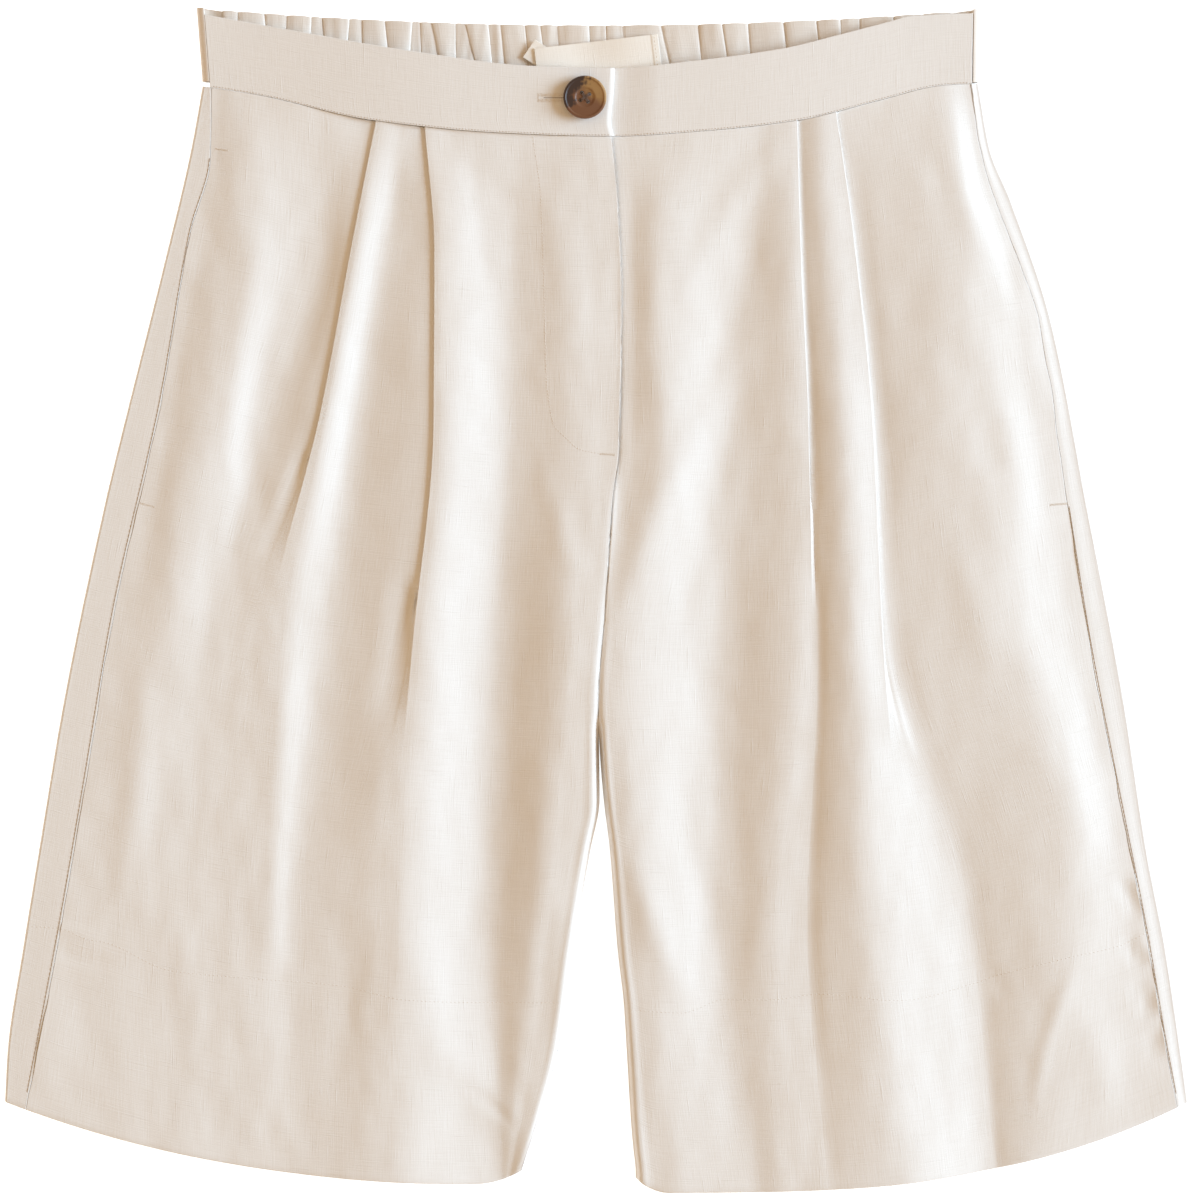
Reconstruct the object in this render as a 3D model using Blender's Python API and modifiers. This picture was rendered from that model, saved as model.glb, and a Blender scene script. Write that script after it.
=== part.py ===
"""Bermuda shorts of linen with pleated fronts, laid flat on their back.

Lengths are millimetres, and turned to metres when a mesh is made. X runs to the wearer's left, Y up
to the waist and Z up out of the front. The floor is at Z = 0. "out" is a distance from the middle
of the shorts towards either side, and "up" is the height of the middle of the cloth off the floor.
"""

import math
from collections import namedtuple

import bmesh
import bpy
import numpy as np

METRE = 1000.0
SIDES = {"right": -1, "left": 1}

# Cloth
CLOTH = 1.0
BAND = 2.4  # a waistband, with what stiffens it
GAP = 0.3  # between two pieces at a seam
LAYER = 1.6  # from the middle of one layer of a fold to the middle of the next
ROLL = 3.0  # radius of the fold at the side of a leg
ROLL_MIDDLE = CLOTH / 2 + ROLL

# Lengths of the legs
HEM_DEPTH = 80.0
HEM_TURN = LAYER / 2
BAND_DEPTH = 34.0
FLY_END = 68.0
FLY_STEP = 1.3  # the right front stands this much higher at the fly
FORK = -53.0
TUCK_FLAT = 3.0  # the layers of a pleat lie flat on each other from this much tuck
STEP_WIDE = 4.0  # below its tuck a pleat is a step up to this wide, and then a soft ridge

Edge = namedtuple("Edge", "y out up")
Side = namedtuple("Side", "y out")
Point = namedtuple("Point", "x y")
Hem = namedtuple("Hem", "low rise power corner corner_share")
Fold = namedtuple("Fold", "name out up")
Leg = namedtuple("Leg", "side folds tucks inner seam outline hem")
Layer = namedtuple("Layer", "at lean turn down down_flat")
Turn = namedtuple("Turn", "inwards up")

# The lower edge of the front waistband
WAIST_SEAM = (
    Point(-196.0, 249.6),
    Point(-163.7, 244.4),
    Point(-110.0, 232.3),
    Point(-47.3, 226.0),
    Point(6.0, 224.3),
    Point(49.7, 226.8),
    Point(98.2, 232.3),
    Point(137.0, 242.0),
    Point(166.0, 249.0),
    Point(190.0, 250.7),
)

# The upper edge of the front waistband
BAND_TOP = (
    Point(-196.0, 284.7),
    Point(-134.6, 273.5),
    Point(-93.8, 266.3),
    Point(-32.0, 258.5),
    Point(7.0, 257.5),
    Point(49.7, 261.4),
    Point(90.5, 267.2),
    Point(118.0, 274.0),
    Point(140.9, 280.0),
    Point(152.0, 282.8),
    Point(190.0, 284.7),
)

# The edge of the fly and the seam below it down to the fork, out to the left
CENTRE_LINE = (
    Edge(224.3, 7.0, 8.8),
    Edge(193.5, 9.9, 10.2),
    Edge(145.0, 11.9, 11.0),
    Edge(72.0, 10.4, 10.6),
    Edge(48.0, 7.5, 10.2),
    Edge(0.0, 4.1, 9.2),
    Edge(FORK, 0.3, 6.5),
)

# The inner edges of the legs below the fork
INSEAMS = {
    "right": (
        Edge(-75.0, -0.6, 1.9),
        Edge(-97.5, -0.8, 1.9),
        Edge(-121.7, 3.6, 2.3),
        Edge(-170.0, 11.9, 4.4),
        Edge(-196.0, 15.6, 5.0),
        Edge(-218.7, 19.2, 5.0),
        Edge(-257.5, 30.3, 5.0),
        Edge(-277.0, 36.6, 5.0),
    ),
    "left": (
        Edge(-75.0, 1.4, 1.9),
        Edge(-97.5, 3.2, 1.9),
        Edge(-121.7, 6.1, 2.3),
        Edge(-170.0, 9.9, 4.4),
        Edge(-196.0, 12.9, 5.0),
        Edge(-218.7, 14.3, 5.0),
        Edge(-257.5, 16.7, 5.0),
        Edge(-277.0, 18.7, 5.0),
    ),
}

# The side seams, which lie forward of the fold at the side
SIDE_SEAMS = {
    "right": (
        Edge(250.0, 187.3, 6.5),
        Edge(215.0, 188.0, 7.0),
        Edge(179.0, 197.6, 7.4),
        Edge(96.5, 212.2, 7.6),
        Edge(-5.0, 235.0, 7.8),
        Edge(-88.0, 249.0, 7.8),
        Edge(-156.0, 260.7, 7.8),
        Edge(-247.0, 278.0, 7.6),
    ),
    "left": (
        Edge(250.7, 181.0, 6.5),
        Edge(218.0, 186.0, 7.2),
        Edge(133.4, 214.6, 8.0),
        Edge(62.0, 226.0, 8.2),
        Edge(-21.8, 239.4, 8.2),
        Edge(-89.2, 252.4, 8.0),
        Edge(-163.0, 267.0, 7.8),
        Edge(-211.0, 275.2, 7.6),
        Edge(-247.0, 282.0, 7.4),
    ),
}

# The outline of the legs at the side
OUTLINES = {
    "right": (
        Side(250.0, 191.8),
        Side(218.0, 197.6),
        Side(164.0, 210.3),
        Side(96.5, 227.2),
        Side(48.0, 239.0),
        Side(-49.0, 259.2),
        Side(-122.0, 271.4),
        Side(-170.0, 279.2),
        Side(-219.0, 286.6),
        Side(-245.0, 288.0),
    ),
    "left": (
        Side(250.7, 185.6),
        Side(218.0, 191.5),
        Side(193.5, 201.5),
        Side(135.0, 221.0),
        Side(48.0, 238.0),
        Side(-49.0, 256.3),
        Side(-122.0, 267.5),
        Side(-170.0, 276.7),
        Side(-219.0, 284.0),
        Side(-245.0, 287.6),
    ),
}

# A hem is lowest near the inner edge, rises to the side as a power of the share of its width, and
# its inner corner is rounded off
HEMS = {
    "right": Hem(low=-284.6, rise=40.5, power=2.4, corner=7.0, corner_share=0.09),
    "left": Hem(low=-288.2, rise=44.0, power=3.1, corner=7.0, corner_share=0.06),
}

# Folds of the fronts, from the side to the middle, as shares of the way from the waist to the hem
STATIONS = (0.0, 0.12, 0.28, 0.5, 0.75, 1.0)
TUCKS = {
    "right": {
        "outer pleat": (8.0, 6.5, 3.4, -10.0, -10.0, -10.0),
        "inner pleat": (8.0, 6.5, 4.0, -10.0, -10.0, -10.0),
    },
    "left": {
        "outer pleat": (8.0, 6.5, 4.0, -10.0, -10.0, -10.0),
        "inner pleat": (8.0, 6.5, 4.0, -10.0, -10.0, -10.0),
    },
}
FOLDS = {
    "right": (
        Fold("side ridge", (171, 174, 185, 203, 222, 222), (7.4, 9.6, 10.6, 10.8, 10.8, 10.6)),
        Fold("outer hollow", (132, 132, 157, 185, 198, 200), (6.0, 5.8, 5.2, 7.8, 9.2, 9.8)),
        Fold("outer pleat", (107.4, 119, 134, 160, 172, 178), (9.0, 10.5, 11.0, 9.4, 9.8, 9.8)),
        Fold("outer roll", (102, 113, 129, 152, 160, 168), (9.1, 11.0, 11.4, 9.6, 9.8, 9.8)),
        Fold("middle hollow", (88.5, 99, 114, 133, 148, 149), (5.8, 6.6, 6.6, 5.2, 7.4, 9.2)),
        Fold("inner pleat", (83.7, 79, 79.4, 90, 100, 104), (9.2, 11.7, 13.8, 12.8, 11.8, 11.5)),
        Fold("inner roll", (78, 73, 74.4, 86, 96, 98), (9.4, 12.2, 14.3, 13.0, 12.0, 11.5)),
        Fold("centre hollow", (45, 42, 44, 50, 53, 58), (8.0, 6.8, 6.4, 4.6, 4.6, 6.4)),
        Fold("centre ridge", (10, 8, 9, 14, 27, 48), (9.4, 9.8, 10.4, 11.7, 9.0, 6.4)),
    ),
    "left": (
        Fold("side ridge", (168, 178, 183, 196, 224, 226), (7.4, 11.6, 14.0, 13.6, 11.4, 10.8)),
        Fold("outer hollow", (129, 131, 139, 150, 186, 204), (6.0, 6.6, 8.4, 10.2, 8.4, 8.0)),
        Fold("outer pleat", (115.7, 124.4, 133, 138.5, 150, 166), (9.2, 11.6, 14.6, 15.4, 15, 14)),
        Fold("outer roll", (110, 113.5, 121, 127, 131, 147), (9.6, 12.4, 16.2, 17.0, 17.0, 16.0)),
        Fold("middle hollow", (101, 103, 107.5, 111, 104, 112), (6.4, 7.4, 9.2, 11.0, 11.5, 12.5)),
        Fold("inner pleat", (96.8, 98.5, 102, 101, 92, 100), (9.2, 10.8, 12.4, 10.8, 10.8, 12.5)),
        Fold("inner roll", (92, 93.5, 97.5, 96, 86, 92), (9.5, 11.2, 12.6, 10.6, 10.2, 11.8)),
        Fold("centre hollow", (76, 70, 62, 58, 58, 72), (7.8, 6.8, 6.0, 5.2, 6.6, 9.6)),
        Fold("centre ridge", (34, 29, 32, 12, 26, 40), (9.0, 11.8, 12.3, 12.0, 11.0, 11.0)),
    ),
}
SPANS = (4, 4, 9, 2, 3, 9, 2, 5, 5, 5)  # steps of the mesh between one fold and the next
ROWS = 17
ROWS_CLOSER = 1.15  # the rows lie closer together at the waist
HEM_ROWS = 4

# The cloth of a pleat from under its fold inside up to its edge. Each point starts at the fold
# inside or at the edge; it leans out with the step, turns out round a fold, and lies this many
# layers down, and this many more where the layers lie flat.
PLEAT = (
    Layer("edge", lean=1.0, turn=0.0, down=2.0, down_flat=0.0),
    Layer("inside", lean=0.85, turn=0.0, down=1.7, down_flat=0.3),
    Layer("inside", lean=0.7, turn=-0.45, down=1.35, down_flat=0.15),
    Layer("inside", lean=0.5, turn=0.0, down=1.0, down_flat=0.0),
    Layer("edge", lean=0.35, turn=0.0, down=0.7, down_flat=0.3),
    Layer("edge", lean=0.15, turn=0.45, down=0.3, down_flat=0.2),
    Layer("edge", lean=0.0, turn=0.0, down=0.0, down_flat=0.0),
)

# The back waistband, gathered over its elastic. Its pinches, from the wearer's right to the left
PINCHES = (
    -182, -175, -162, -151, -140, -134, -121.5, -114, -102, -91, -85.6, -76, -70, -60, -52,
    -45, -35, -28, -20, -4, 4, 13, 25, 37, 50, 62, 73.5, 91, 107, 118, 128, 144, 158, 172,
)  # fmt: skip
PUFF = 1.8
PUFF_WIDTH = 12.0  # a puff this wide or wider has its full height
BACK_BAND_TOP = 279.0
BACK_BAND_LOW_RISE = 6.3  # of its lower edge to the sides
BACK_BAND_TOP_RISE = 8.0
BACK_BAND_HALF = 190.0
BACK_FLAT_OUT = 140.0
BACK_FLAT_EASE = 40.0
BAND_ENDS = {"right": (192.0, 194.8), "left": (185.8, 186.2)}  # its lower and upper corner
BAND_UP = 6.5  # the front band where it meets the back one
BAND_MIDDLE_UP = {"right": 10.2, "left": 9.0}
BAND_UNDER_UP = 7.4
BAND_FLAT_OUT = 190.0
BAND_RISE_WIDTH = 120.0
BAND_EDGE_X = 7.5  # where the right half of the front band ends, over the left half
OVERLAP = 23.0  # the left half of the front band runs on this far under the right half
UNDER_ENDS = 8.0
UNDER_RISE = 22.0
BAND_ROLL = (BAND_UP - BAND / 2) / 2
BAND_TURN_UP = (BAND_UP + BAND / 2) / 2
PUFF_SHARES = (0.0, 0.17, 0.5, 0.83)
BACK_BAND_ROWS = 5
BAND_ROWS = 4
BAND_COLUMNS = 24

# Small pieces
BUTTON_X = -6.1
BUTTON_Y = 243.0
BUTTON_RADIUS = 10.5
BUTTON_THICK = 3.2
BUTTON_LIFT = 1.2
BUTTON_DISH = 0.9
BUTTON_TURN = math.radians(-11.0)
BUTTON_STEPS = 40
HOLE_RADIUS = 0.95
HOLE_OUT = 2.6  # of each hole's middle from the button's
HOLE_SIDES = 16
THREAD = 0.7
LABEL_SIZE = (60.5, 22.0)
LABEL_MIDDLE = (0.5, 260.0)
LABEL_TILT = math.radians(6.7)
LABEL_UP = 5.0
LABEL_THICK = 1.0
LABEL_GRID = (13, 5)
SHIELD_WIDTH = 28.0
SHIELD_GRID = (6, 9)
POCKET_TOP = 214.0
POCKET_BOTTOM = -10.0
POCKET_REACH = 130.0  # of the inner edge of a pocket bag, out from the middle
POCKET_UP = 1.8
POCKET_CORNER = 60.0
POCKET_LEAN = 20.0
POCKET_IN = 1.0
POCKET_SEAM_FROM = 0.8  # share of its width from which a pocket bag rises to the side seam
POCKET_SEAM_RISE = 3.6
POCKET_GRID = (9, 11)

# The button's half section: a dish round the holes, a broad face and a thin raised rim. Each
# point is this far in from the rim and this far up from the underside.
BUTTON_PROFILE = (
    Turn(10.5, 2.3),
    Turn(6.9, 2.3),
    Turn(6.3, 2.42),
    Turn(5.8, 2.72),
    Turn(5.3, 2.86),
    Turn(1.7, 2.8),
    Turn(1.4, 2.92),
    Turn(1.0, 3.2),
    Turn(0.4, 3.05),
    Turn(0.0, 2.2),
    Turn(0.2, 1.0),
    Turn(2.2, 0.2),
    Turn(4.0, 0.0),
    Turn(10.5, 0.0),
)

# Colours
LINEN = (0.80, 0.73, 0.66)
LABEL_CLOTH = (0.80, 0.73, 0.60)
HORN = (0.16, 0.08, 0.04)
THREAD_COLOUR = (0.74, 0.66, 0.57)


def material(name, colour, roughness):
    """A Principled material of one colour."""
    made = bpy.data.materials.new(name)
    made.use_nodes = True
    shader = made.node_tree.nodes["Principled BSDF"]
    shader.inputs["Base Color"].default_value = (*colour, 1)
    shader.inputs["Roughness"].default_value = roughness
    shader.inputs["Metallic"].default_value = 0
    return made


def mix(a, b, share):
    """The value that lies this share of the way from a to b."""
    return a + (b - a) * share


def ease(share):
    """A share from 0 to 1 that starts and ends gently."""
    share = np.clip(share, 0, 1)
    return share * share * (3 - 2 * share)


def bend(share, a, b, slope_a, slope_b):
    """A cubic from a to b with the given slopes, at a share of its length."""
    left = 1 - share
    turn = share * left * (left * (slope_a - (b - a)) - share * (slope_b - (b - a)))
    return mix(a, b, share) + turn


def glide(at, places, values):
    """Reads the smooth line through the values at their places, which never overshoots them."""
    order = np.argsort(places)
    x = np.array(places, float)[order]
    y = np.array(values, float)[order]
    step = np.diff(x)
    rise = np.diff(y) / step
    slope = np.concatenate([rise[:1], np.zeros(len(x) - 2), rise[-1:]])
    runs_on = rise[:-1] * rise[1:] > 0
    both = rise[:-1] + rise[1:]
    slope[1:-1][runs_on] = (2 * rise[:-1] * rise[1:])[runs_on] / both[runs_on]
    at = np.clip(at, x[0], x[-1])
    i = np.clip(np.searchsorted(x, at) - 1, 0, len(step) - 1)
    share = (at - x[i]) / step[i]
    return bend(share, y[i], y[i + 1], slope[i] * step[i], slope[i + 1] * step[i])


def column(rows, name):
    """One column of a table."""
    return [getattr(row, name) for row in rows]


def inner_edge(name):
    """The table of a leg's inner edge: the line of the fly, then the inside of the leg."""
    rows = []
    for row in CENTRE_LINE:
        if name == "right":
            rows.append(Edge(row.y, -row.out, row.up))
        else:
            step = FLY_STEP if row.y > FLY_END else 0.0
            rows.append(Edge(row.y, row.out + GAP, row.up - step))
    return (*rows, *INSEAMS[name])


def leg_of(name):
    """All the tables of one leg."""
    return Leg(
        SIDES[name],
        FOLDS[name],
        TUCKS[name],
        inner_edge(name),
        SIDE_SEAMS[name],
        OUTLINES[name],
        HEMS[name],
    )


def waist_y(x):
    """The height of the front waist seam on the shorts."""
    return glide(x, column(WAIST_SEAM, "x"), column(WAIST_SEAM, "y"))


def hem_y(hem, share):
    """The middle of the cloth at a hem, just before it turns up inside."""
    share = np.clip(share, 0, 1)
    corner = hem.corner * np.clip(1 - share / hem.corner_share, 0, 1) ** 2
    return hem.low + CLOTH / 2 + HEM_TURN + corner + hem.rise * share**hem.power


def middle_y(leg, v):
    """The Y of a leg's inner edge at v."""
    return mix(waist_y(leg.side * leg.inner[0].out), hem_y(leg.hem, 0), v)


def edges(leg, v):
    """The inner edge, side seam and outline of a leg at v."""
    middle = middle_y(leg, v)
    side_y = mix(waist_y(leg.side * leg.outline[0].out), hem_y(leg.hem, 1), v)
    inner = [glide(middle, column(leg.inner, "y"), column(leg.inner, n)) for n in ("out", "up")]
    seam = [glide(side_y, column(leg.seam, "y"), column(leg.seam, n)) for n in ("out", "up")]
    outline = glide(side_y, column(leg.outline, "y"), column(leg.outline, "out"))
    return inner, seam, outline


def down_the_leg(leg, out, v, waist=waist_y):
    """The Y of a point of a leg, from how far out it is and its share of the way to the hem."""
    inner, _, outline = edges(leg, v)
    share = (out - inner[0]) / (outline - inner[0])
    at_waist = mix(leg.inner[0].out, leg.outline[0].out, share)
    return mix(waist(leg.side * at_waist), hem_y(leg.hem, share), v)


def span(a, b, steps, slope_a=0.0, slope_b=0.0):
    """Points from a to b, each (out, up), without a itself."""
    share = np.arange(1, steps + 1) / steps
    reach = b[0] - a[0]
    up = bend(share, a[1], b[1], slope_a * reach, slope_b * reach)
    return np.stack([mix(a[0], b[0], share), up], axis=1)


def pleat(hollow, edge, roll, beyond, tuck, steps):
    """The cloth from a hollow to a pleat's edge: tucked back under the roll, a step, or a flank."""
    if tuck < -STEP_WIDE:
        return span(hollow, edge, steps, 0.0, (roll[1] - edge[1]) / (roll[0] - edge[0]))
    under = max(tuck, 0.0)
    lean = max(-tuck, 0.0)
    inside = edge[0] - under
    if inside > roll[0]:
        above = mix(edge[1], roll[1], under / (edge[0] - roll[0]))
    else:
        above = mix(roll[1], beyond[1], ease((roll[0] - inside) / (roll[0] - beyond[0])))
    flat = min(under / TUCK_FLAT, 1.0)
    folded = []
    for row in PLEAT:
        start = (inside, above) if row.at == "inside" else edge
        out = start[0] + row.lean * lean + row.turn * LAYER * flat
        folded.append((out, start[1] - (row.down + row.down_flat * flat) * LAYER))
    folded = np.array(folded)
    way_in = span(hollow, folded[0], steps - len(folded) + 1)[:-1]
    return np.concatenate([way_in, folded])


def front_section(leg, v):
    """The middle of the cloth across a front at v, from the side seam to the inner edge."""
    inner, seam, _ = edges(leg, v)
    knots = [(glide(v, STATIONS, fold.out), glide(v, STATIONS, fold.up)) for fold in leg.folds]
    knots = [tuple(seam), *knots, tuple(inner)]
    line = [np.array([seam])]
    for i, steps in enumerate(SPANS):
        name = leg.folds[i].name if i < len(leg.folds) else "inner edge"
        if "pleat" in name:
            tuck = glide(v, STATIONS, leg.tucks[name])
            line.append(pleat(*knots[i : i + 4], tuck, steps))
        elif "roll" in name:
            slope = (knots[i + 1][1] - knots[i][1]) / (knots[i + 1][0] - knots[i][0])
            line.append(span(knots[i], knots[i + 1], steps, slope, 0.0))
        else:
            line.append(span(knots[i], knots[i + 1], steps))
    return np.concatenate(line)


def back_section(leg, v):
    """The middle of the cloth across a back at v: along the floor, round the side and on top."""
    inner, seam, outline = edges(leg, v)
    below_fork = middle_y(leg, v) < FORK
    start = GAP + max(inner[0], 0.0) * below_fork
    turn = outline - CLOTH / 2 - ROLL
    floor = [(out, CLOTH / 2) for out in np.linspace(start, turn, 7)]
    angles = np.radians([30, 60, 90, 120, 150, 180])
    round_side = [(turn + ROLL * math.sin(a), ROLL_MIDDLE - ROLL * math.cos(a)) for a in angles]
    on_top = span(round_side[-1], (seam[0] + GAP, seam[1]), 3)
    return np.concatenate([floor, round_side, on_top])


def moved_in(line, distance):
    """A section moved sideways by a distance, to the left of the way it runs."""
    ahead = np.gradient(line, axis=0)
    ahead[[0, -1], 1] = 0
    ahead /= np.linalg.norm(ahead, axis=1, keepdims=True)
    return line + distance * np.stack([-ahead[:, 1], ahead[:, 0]], axis=1)


def panel(leg, section, waist=waist_y):
    """The points of a leg's panel, down to the hem, round it and up again inside."""
    length = waist(0.0) - leg.hem.low
    down = np.linspace(0, 1, ROWS) ** ROWS_CLOSER
    up_inside = np.linspace(1, 1 - HEM_DEPTH / length, HEM_ROWS)
    shares = [*down, 1.0, *up_inside]
    depths = [*[0.0] * ROWS, 0.5, *[1.0] * HEM_ROWS]
    grid = []
    for v, depth in zip(shares, depths):
        line = moved_in(section(leg, v), depth * LAYER)
        y = down_the_leg(leg, line[:, 0], v, waist)
        y -= HEM_TURN * (depth == 0.5)
        grid.append(np.stack([leg.side * line[:, 0], y, line[:, 1]], axis=1))
    return np.array(grid)


def wall(name, grid, thickness, finish):
    """A sheet of cloth through a grid of points, with its thickness."""
    rows, columns = grid.shape[:2]
    shape = bmesh.new()
    bmesh.ops.create_grid(shape, x_segments=columns - 1, y_segments=rows - 1, size=1)
    for vertex, point in zip(shape.verts, grid.reshape(-1, 3)):
        vertex.co = point / METRE
    made = add(name, shape, finish)
    solid = made.modifiers.new("Cloth", "SOLIDIFY")
    solid.thickness = thickness / METRE
    solid.offset = 0
    return made


def add(name, shape, finish):
    """Turns a bmesh into an object of the garment."""
    mesh = bpy.data.meshes.new(name)
    shape.to_mesh(mesh)
    shape.free()
    mesh.materials.append(finish)
    mesh.shade_smooth()
    made = bpy.data.objects.new(name, mesh)
    garment.objects.link(made)
    return made


def back_band_low(x):
    """The lower edge of the back waistband."""
    return BACK_BAND_TOP - BAND_DEPTH + BACK_BAND_LOW_RISE * (x / BACK_BAND_HALF) ** 2


def back_waist_y(x):
    """The upper edge of the backs, which meets that of the fronts at the sides."""
    at_side = ease((np.abs(x) - BACK_FLAT_OUT) / BACK_FLAT_EASE)
    return mix(back_band_low(x) - GAP, waist_y(x), at_side)


def fronts(finish):
    """The two fronts, with their pleats and turned-up hems."""
    for name in SIDES:
        leg = leg_of(name)
        wall(f"front_{name}", panel(leg, front_section), CLOTH, finish)


def backs(finish):
    """The two backs, which lie on the floor and come round the sides onto the front."""
    for name in SIDES:
        leg = leg_of(name)
        grid = panel(leg, back_section, back_waist_y)
        wall(f"back_{name}", grid, CLOTH, finish)


def band_end(name, share):
    """How far out the turn of the waistband is centred, from its lower edge to its upper one."""
    return mix(*BAND_ENDS[name], share) - BAND / 2 - BAND_ROLL


def back_band(finish):
    """The back waistband: puffs between its pinches, and round the sides up to the front one."""
    angles = np.radians([180, 150, 120, 90, 60, 30])
    along = [(-band_end("right", 0.5), BAND / 2)]
    for a, b in zip(PINCHES, PINCHES[1:]):
        height = PUFF * min(1.0, (b - a) / PUFF_WIDTH)
        for share in PUFF_SHARES:
            along.append((mix(a, b, share), BAND / 2 + height * math.sin(math.pi * share) ** 0.7))
    along += [(PINCHES[-1], BAND / 2), (band_end("left", 0.5), BAND / 2)]
    grid = []
    for share in np.linspace(0, 1, BACK_BAND_ROWS):
        line = []
        for angle in angles:
            out = band_end("right", share) + BAND_ROLL * math.sin(angle)
            line.append((-out, BAND_TURN_UP - BAND_ROLL * math.cos(angle)))
        line += along
        for angle in reversed(angles):
            out = band_end("left", share) + BAND_ROLL * math.sin(angle)
            line.append((out, BAND_TURN_UP - BAND_ROLL * math.cos(angle)))
        x, up = np.array(line).T
        x[len(angles)] = -band_end("right", share)
        x[-len(angles) - 1] = band_end("left", share)
        low = back_band_low(x)
        high = BACK_BAND_TOP + BACK_BAND_TOP_RISE * (x / BACK_BAND_HALF) ** 2
        y = mix(low, high, share)
        grid.append(np.stack([x, y, up], axis=1))
    wall("waistband_back", np.array(grid), BAND, finish)


def band_up(name, out):
    """The height of the front waistband, which rises from its ends to the middle."""
    return mix(BAND_UP, BAND_MIDDLE_UP[name], ease((BAND_FLAT_OUT - out) / BAND_RISE_WIDTH))


def front_bands(finish):
    """The two halves of the front waistband; the right one lies over the left one."""
    for name, side in SIDES.items():
        middle = 0.0 if name == "right" else OVERLAP
        grid = []
        for share in np.linspace(0, 1, BAND_ROWS):
            end = band_end(name, share) - 2 * GAP
            start = -BAND_EDGE_X if name == "right" else BAND_EDGE_X - middle
            out = np.linspace(start, end, BAND_COLUMNS)
            x = side * out
            bottom = waist_y(x) + GAP
            top = glide(x, column(BAND_TOP, "x"), column(BAND_TOP, "y"))
            up = band_up(name, out)
            if name == "left":
                up = mix(BAND_UNDER_UP, up, ease((out - UNDER_ENDS) / UNDER_RISE))
            grid.append(np.stack([x, mix(bottom, top, share), up], axis=1))
        wall(f"waistband_front_{name}", np.array(grid), BAND, finish)


def panel_up(leg, out, v):
    """The height of the front's cloth near the middle of the shorts."""
    line = front_section(leg, v)[::-1]
    return np.interp(out, line[:, 0], line[:, 1])


def fly_shield(finish):
    """The strip under the fly, one layer below the right front."""
    leg = leg_of("right")
    edge = leg.inner[0]
    end = (edge.y - FLY_END) / (edge.y - leg.hem.low)
    grid = []
    for v in np.linspace(0, end, SHIELD_GRID[1]):
        inner = edges(leg, v)[0][0]
        out = np.linspace(inner + GAP, inner + SHIELD_WIDTH, SHIELD_GRID[0])
        up = panel_up(leg, out, v) - LAYER
        grid.append(np.stack([-out, down_the_leg(leg, out, v), up], axis=1))
    wall("fly_shield", np.array(grid), CLOTH, finish)


def pockets(finish):
    """The pocket bags, which hang from the side seams between the front and the back."""
    for name, side in SIDES.items():
        seam = SIDE_SEAMS[name]
        grid = []
        for share in np.linspace(0, 1, POCKET_GRID[1]):
            y = mix(POCKET_TOP, POCKET_BOTTOM, share)
            corner = POCKET_CORNER * (1 - math.sqrt(1 - share**6))
            outer = glide(y, column(seam, "y"), column(seam, "out")) - POCKET_IN
            inner = POCKET_REACH + corner + POCKET_LEAN * share
            across = np.linspace(0, 1, POCKET_GRID[0])
            at_seam = ease((across - POCKET_SEAM_FROM) / (1 - POCKET_SEAM_FROM))
            up = POCKET_UP + POCKET_SEAM_RISE * at_seam
            x = side * mix(inner, outer, across)
            grid.append(np.stack([x, np.full_like(x, y), up], axis=1))
        wall(f"pocket_{name}", np.array(grid), CLOTH, finish)


def label(finish):
    """The bare label on the inside of the back waistband."""
    across = np.linspace(-0.5, 0.5, LABEL_GRID[0]) * LABEL_SIZE[0]
    grid = []
    for down in np.linspace(-0.5, 0.5, LABEL_GRID[1]) * LABEL_SIZE[1]:
        x = LABEL_MIDDLE[0] + across * math.cos(LABEL_TILT) - down * math.sin(LABEL_TILT)
        y = LABEL_MIDDLE[1] + across * math.sin(LABEL_TILT) + down * math.cos(LABEL_TILT)
        grid.append(np.stack([x, y, np.full_like(x, LABEL_UP)], axis=1))
    wall("label", np.array(grid), LABEL_THICK, finish)


def button_under():
    """The height of the button's underside."""
    return BAND_MIDDLE_UP["right"] + BAND / 2 + BUTTON_LIFT


def button_body(finish):
    """The button's profile turned about its middle."""
    shape = bmesh.new()
    low = button_under()
    points = []
    for row in BUTTON_PROFILE:
        radius = BUTTON_RADIUS - row.inwards
        points.append(shape.verts.new((radius / METRE, 0, (low + row.up) / METRE)))
    for a, b in zip(points, points[1:]):
        shape.edges.new((a, b))
    made = add("button", shape, finish)
    screw = made.modifiers.new("Turn", "SCREW")
    screw.steps = BUTTON_STEPS
    screw.render_steps = BUTTON_STEPS
    screw.use_merge_vertices = True
    screw.merge_threshold = 0.0001
    screw.use_normal_calculate = False
    made.location = (BUTTON_X / METRE, BUTTON_Y / METRE, 0)
    return made


def button(finish):
    """The button with its four holes."""
    made = button_body(finish)
    middle = button_under() + BUTTON_THICK / 2
    for i in range(4):
        angle = BUTTON_TURN + math.radians(45 + 90 * i)
        x = BUTTON_X + HOLE_OUT * math.cos(angle)
        y = BUTTON_Y + HOLE_OUT * math.sin(angle)
        bpy.ops.mesh.primitive_cylinder_add(
            vertices=HOLE_SIDES,
            radius=HOLE_RADIUS / METRE,
            depth=3 * BUTTON_THICK / METRE,
            location=(x / METRE, y / METRE, middle / METRE),
        )
        cutter = bpy.context.object
        cutter.name = f"cutter_hole_{i}"
        set_apart(cutter)
        cut = made.modifiers.new(f"Hole {i}", "BOOLEAN")
        cut.object = cutter
        cut.operation = "DIFFERENCE"


def set_apart(cutter):
    """Moves an object to the cutters and hides it from the render."""
    cutter.hide_render = True
    cutter.display_type = "WIRE"
    for old in list(cutter.users_collection):
        old.objects.unlink(cutter)
    cutters.objects.link(cutter)


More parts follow.
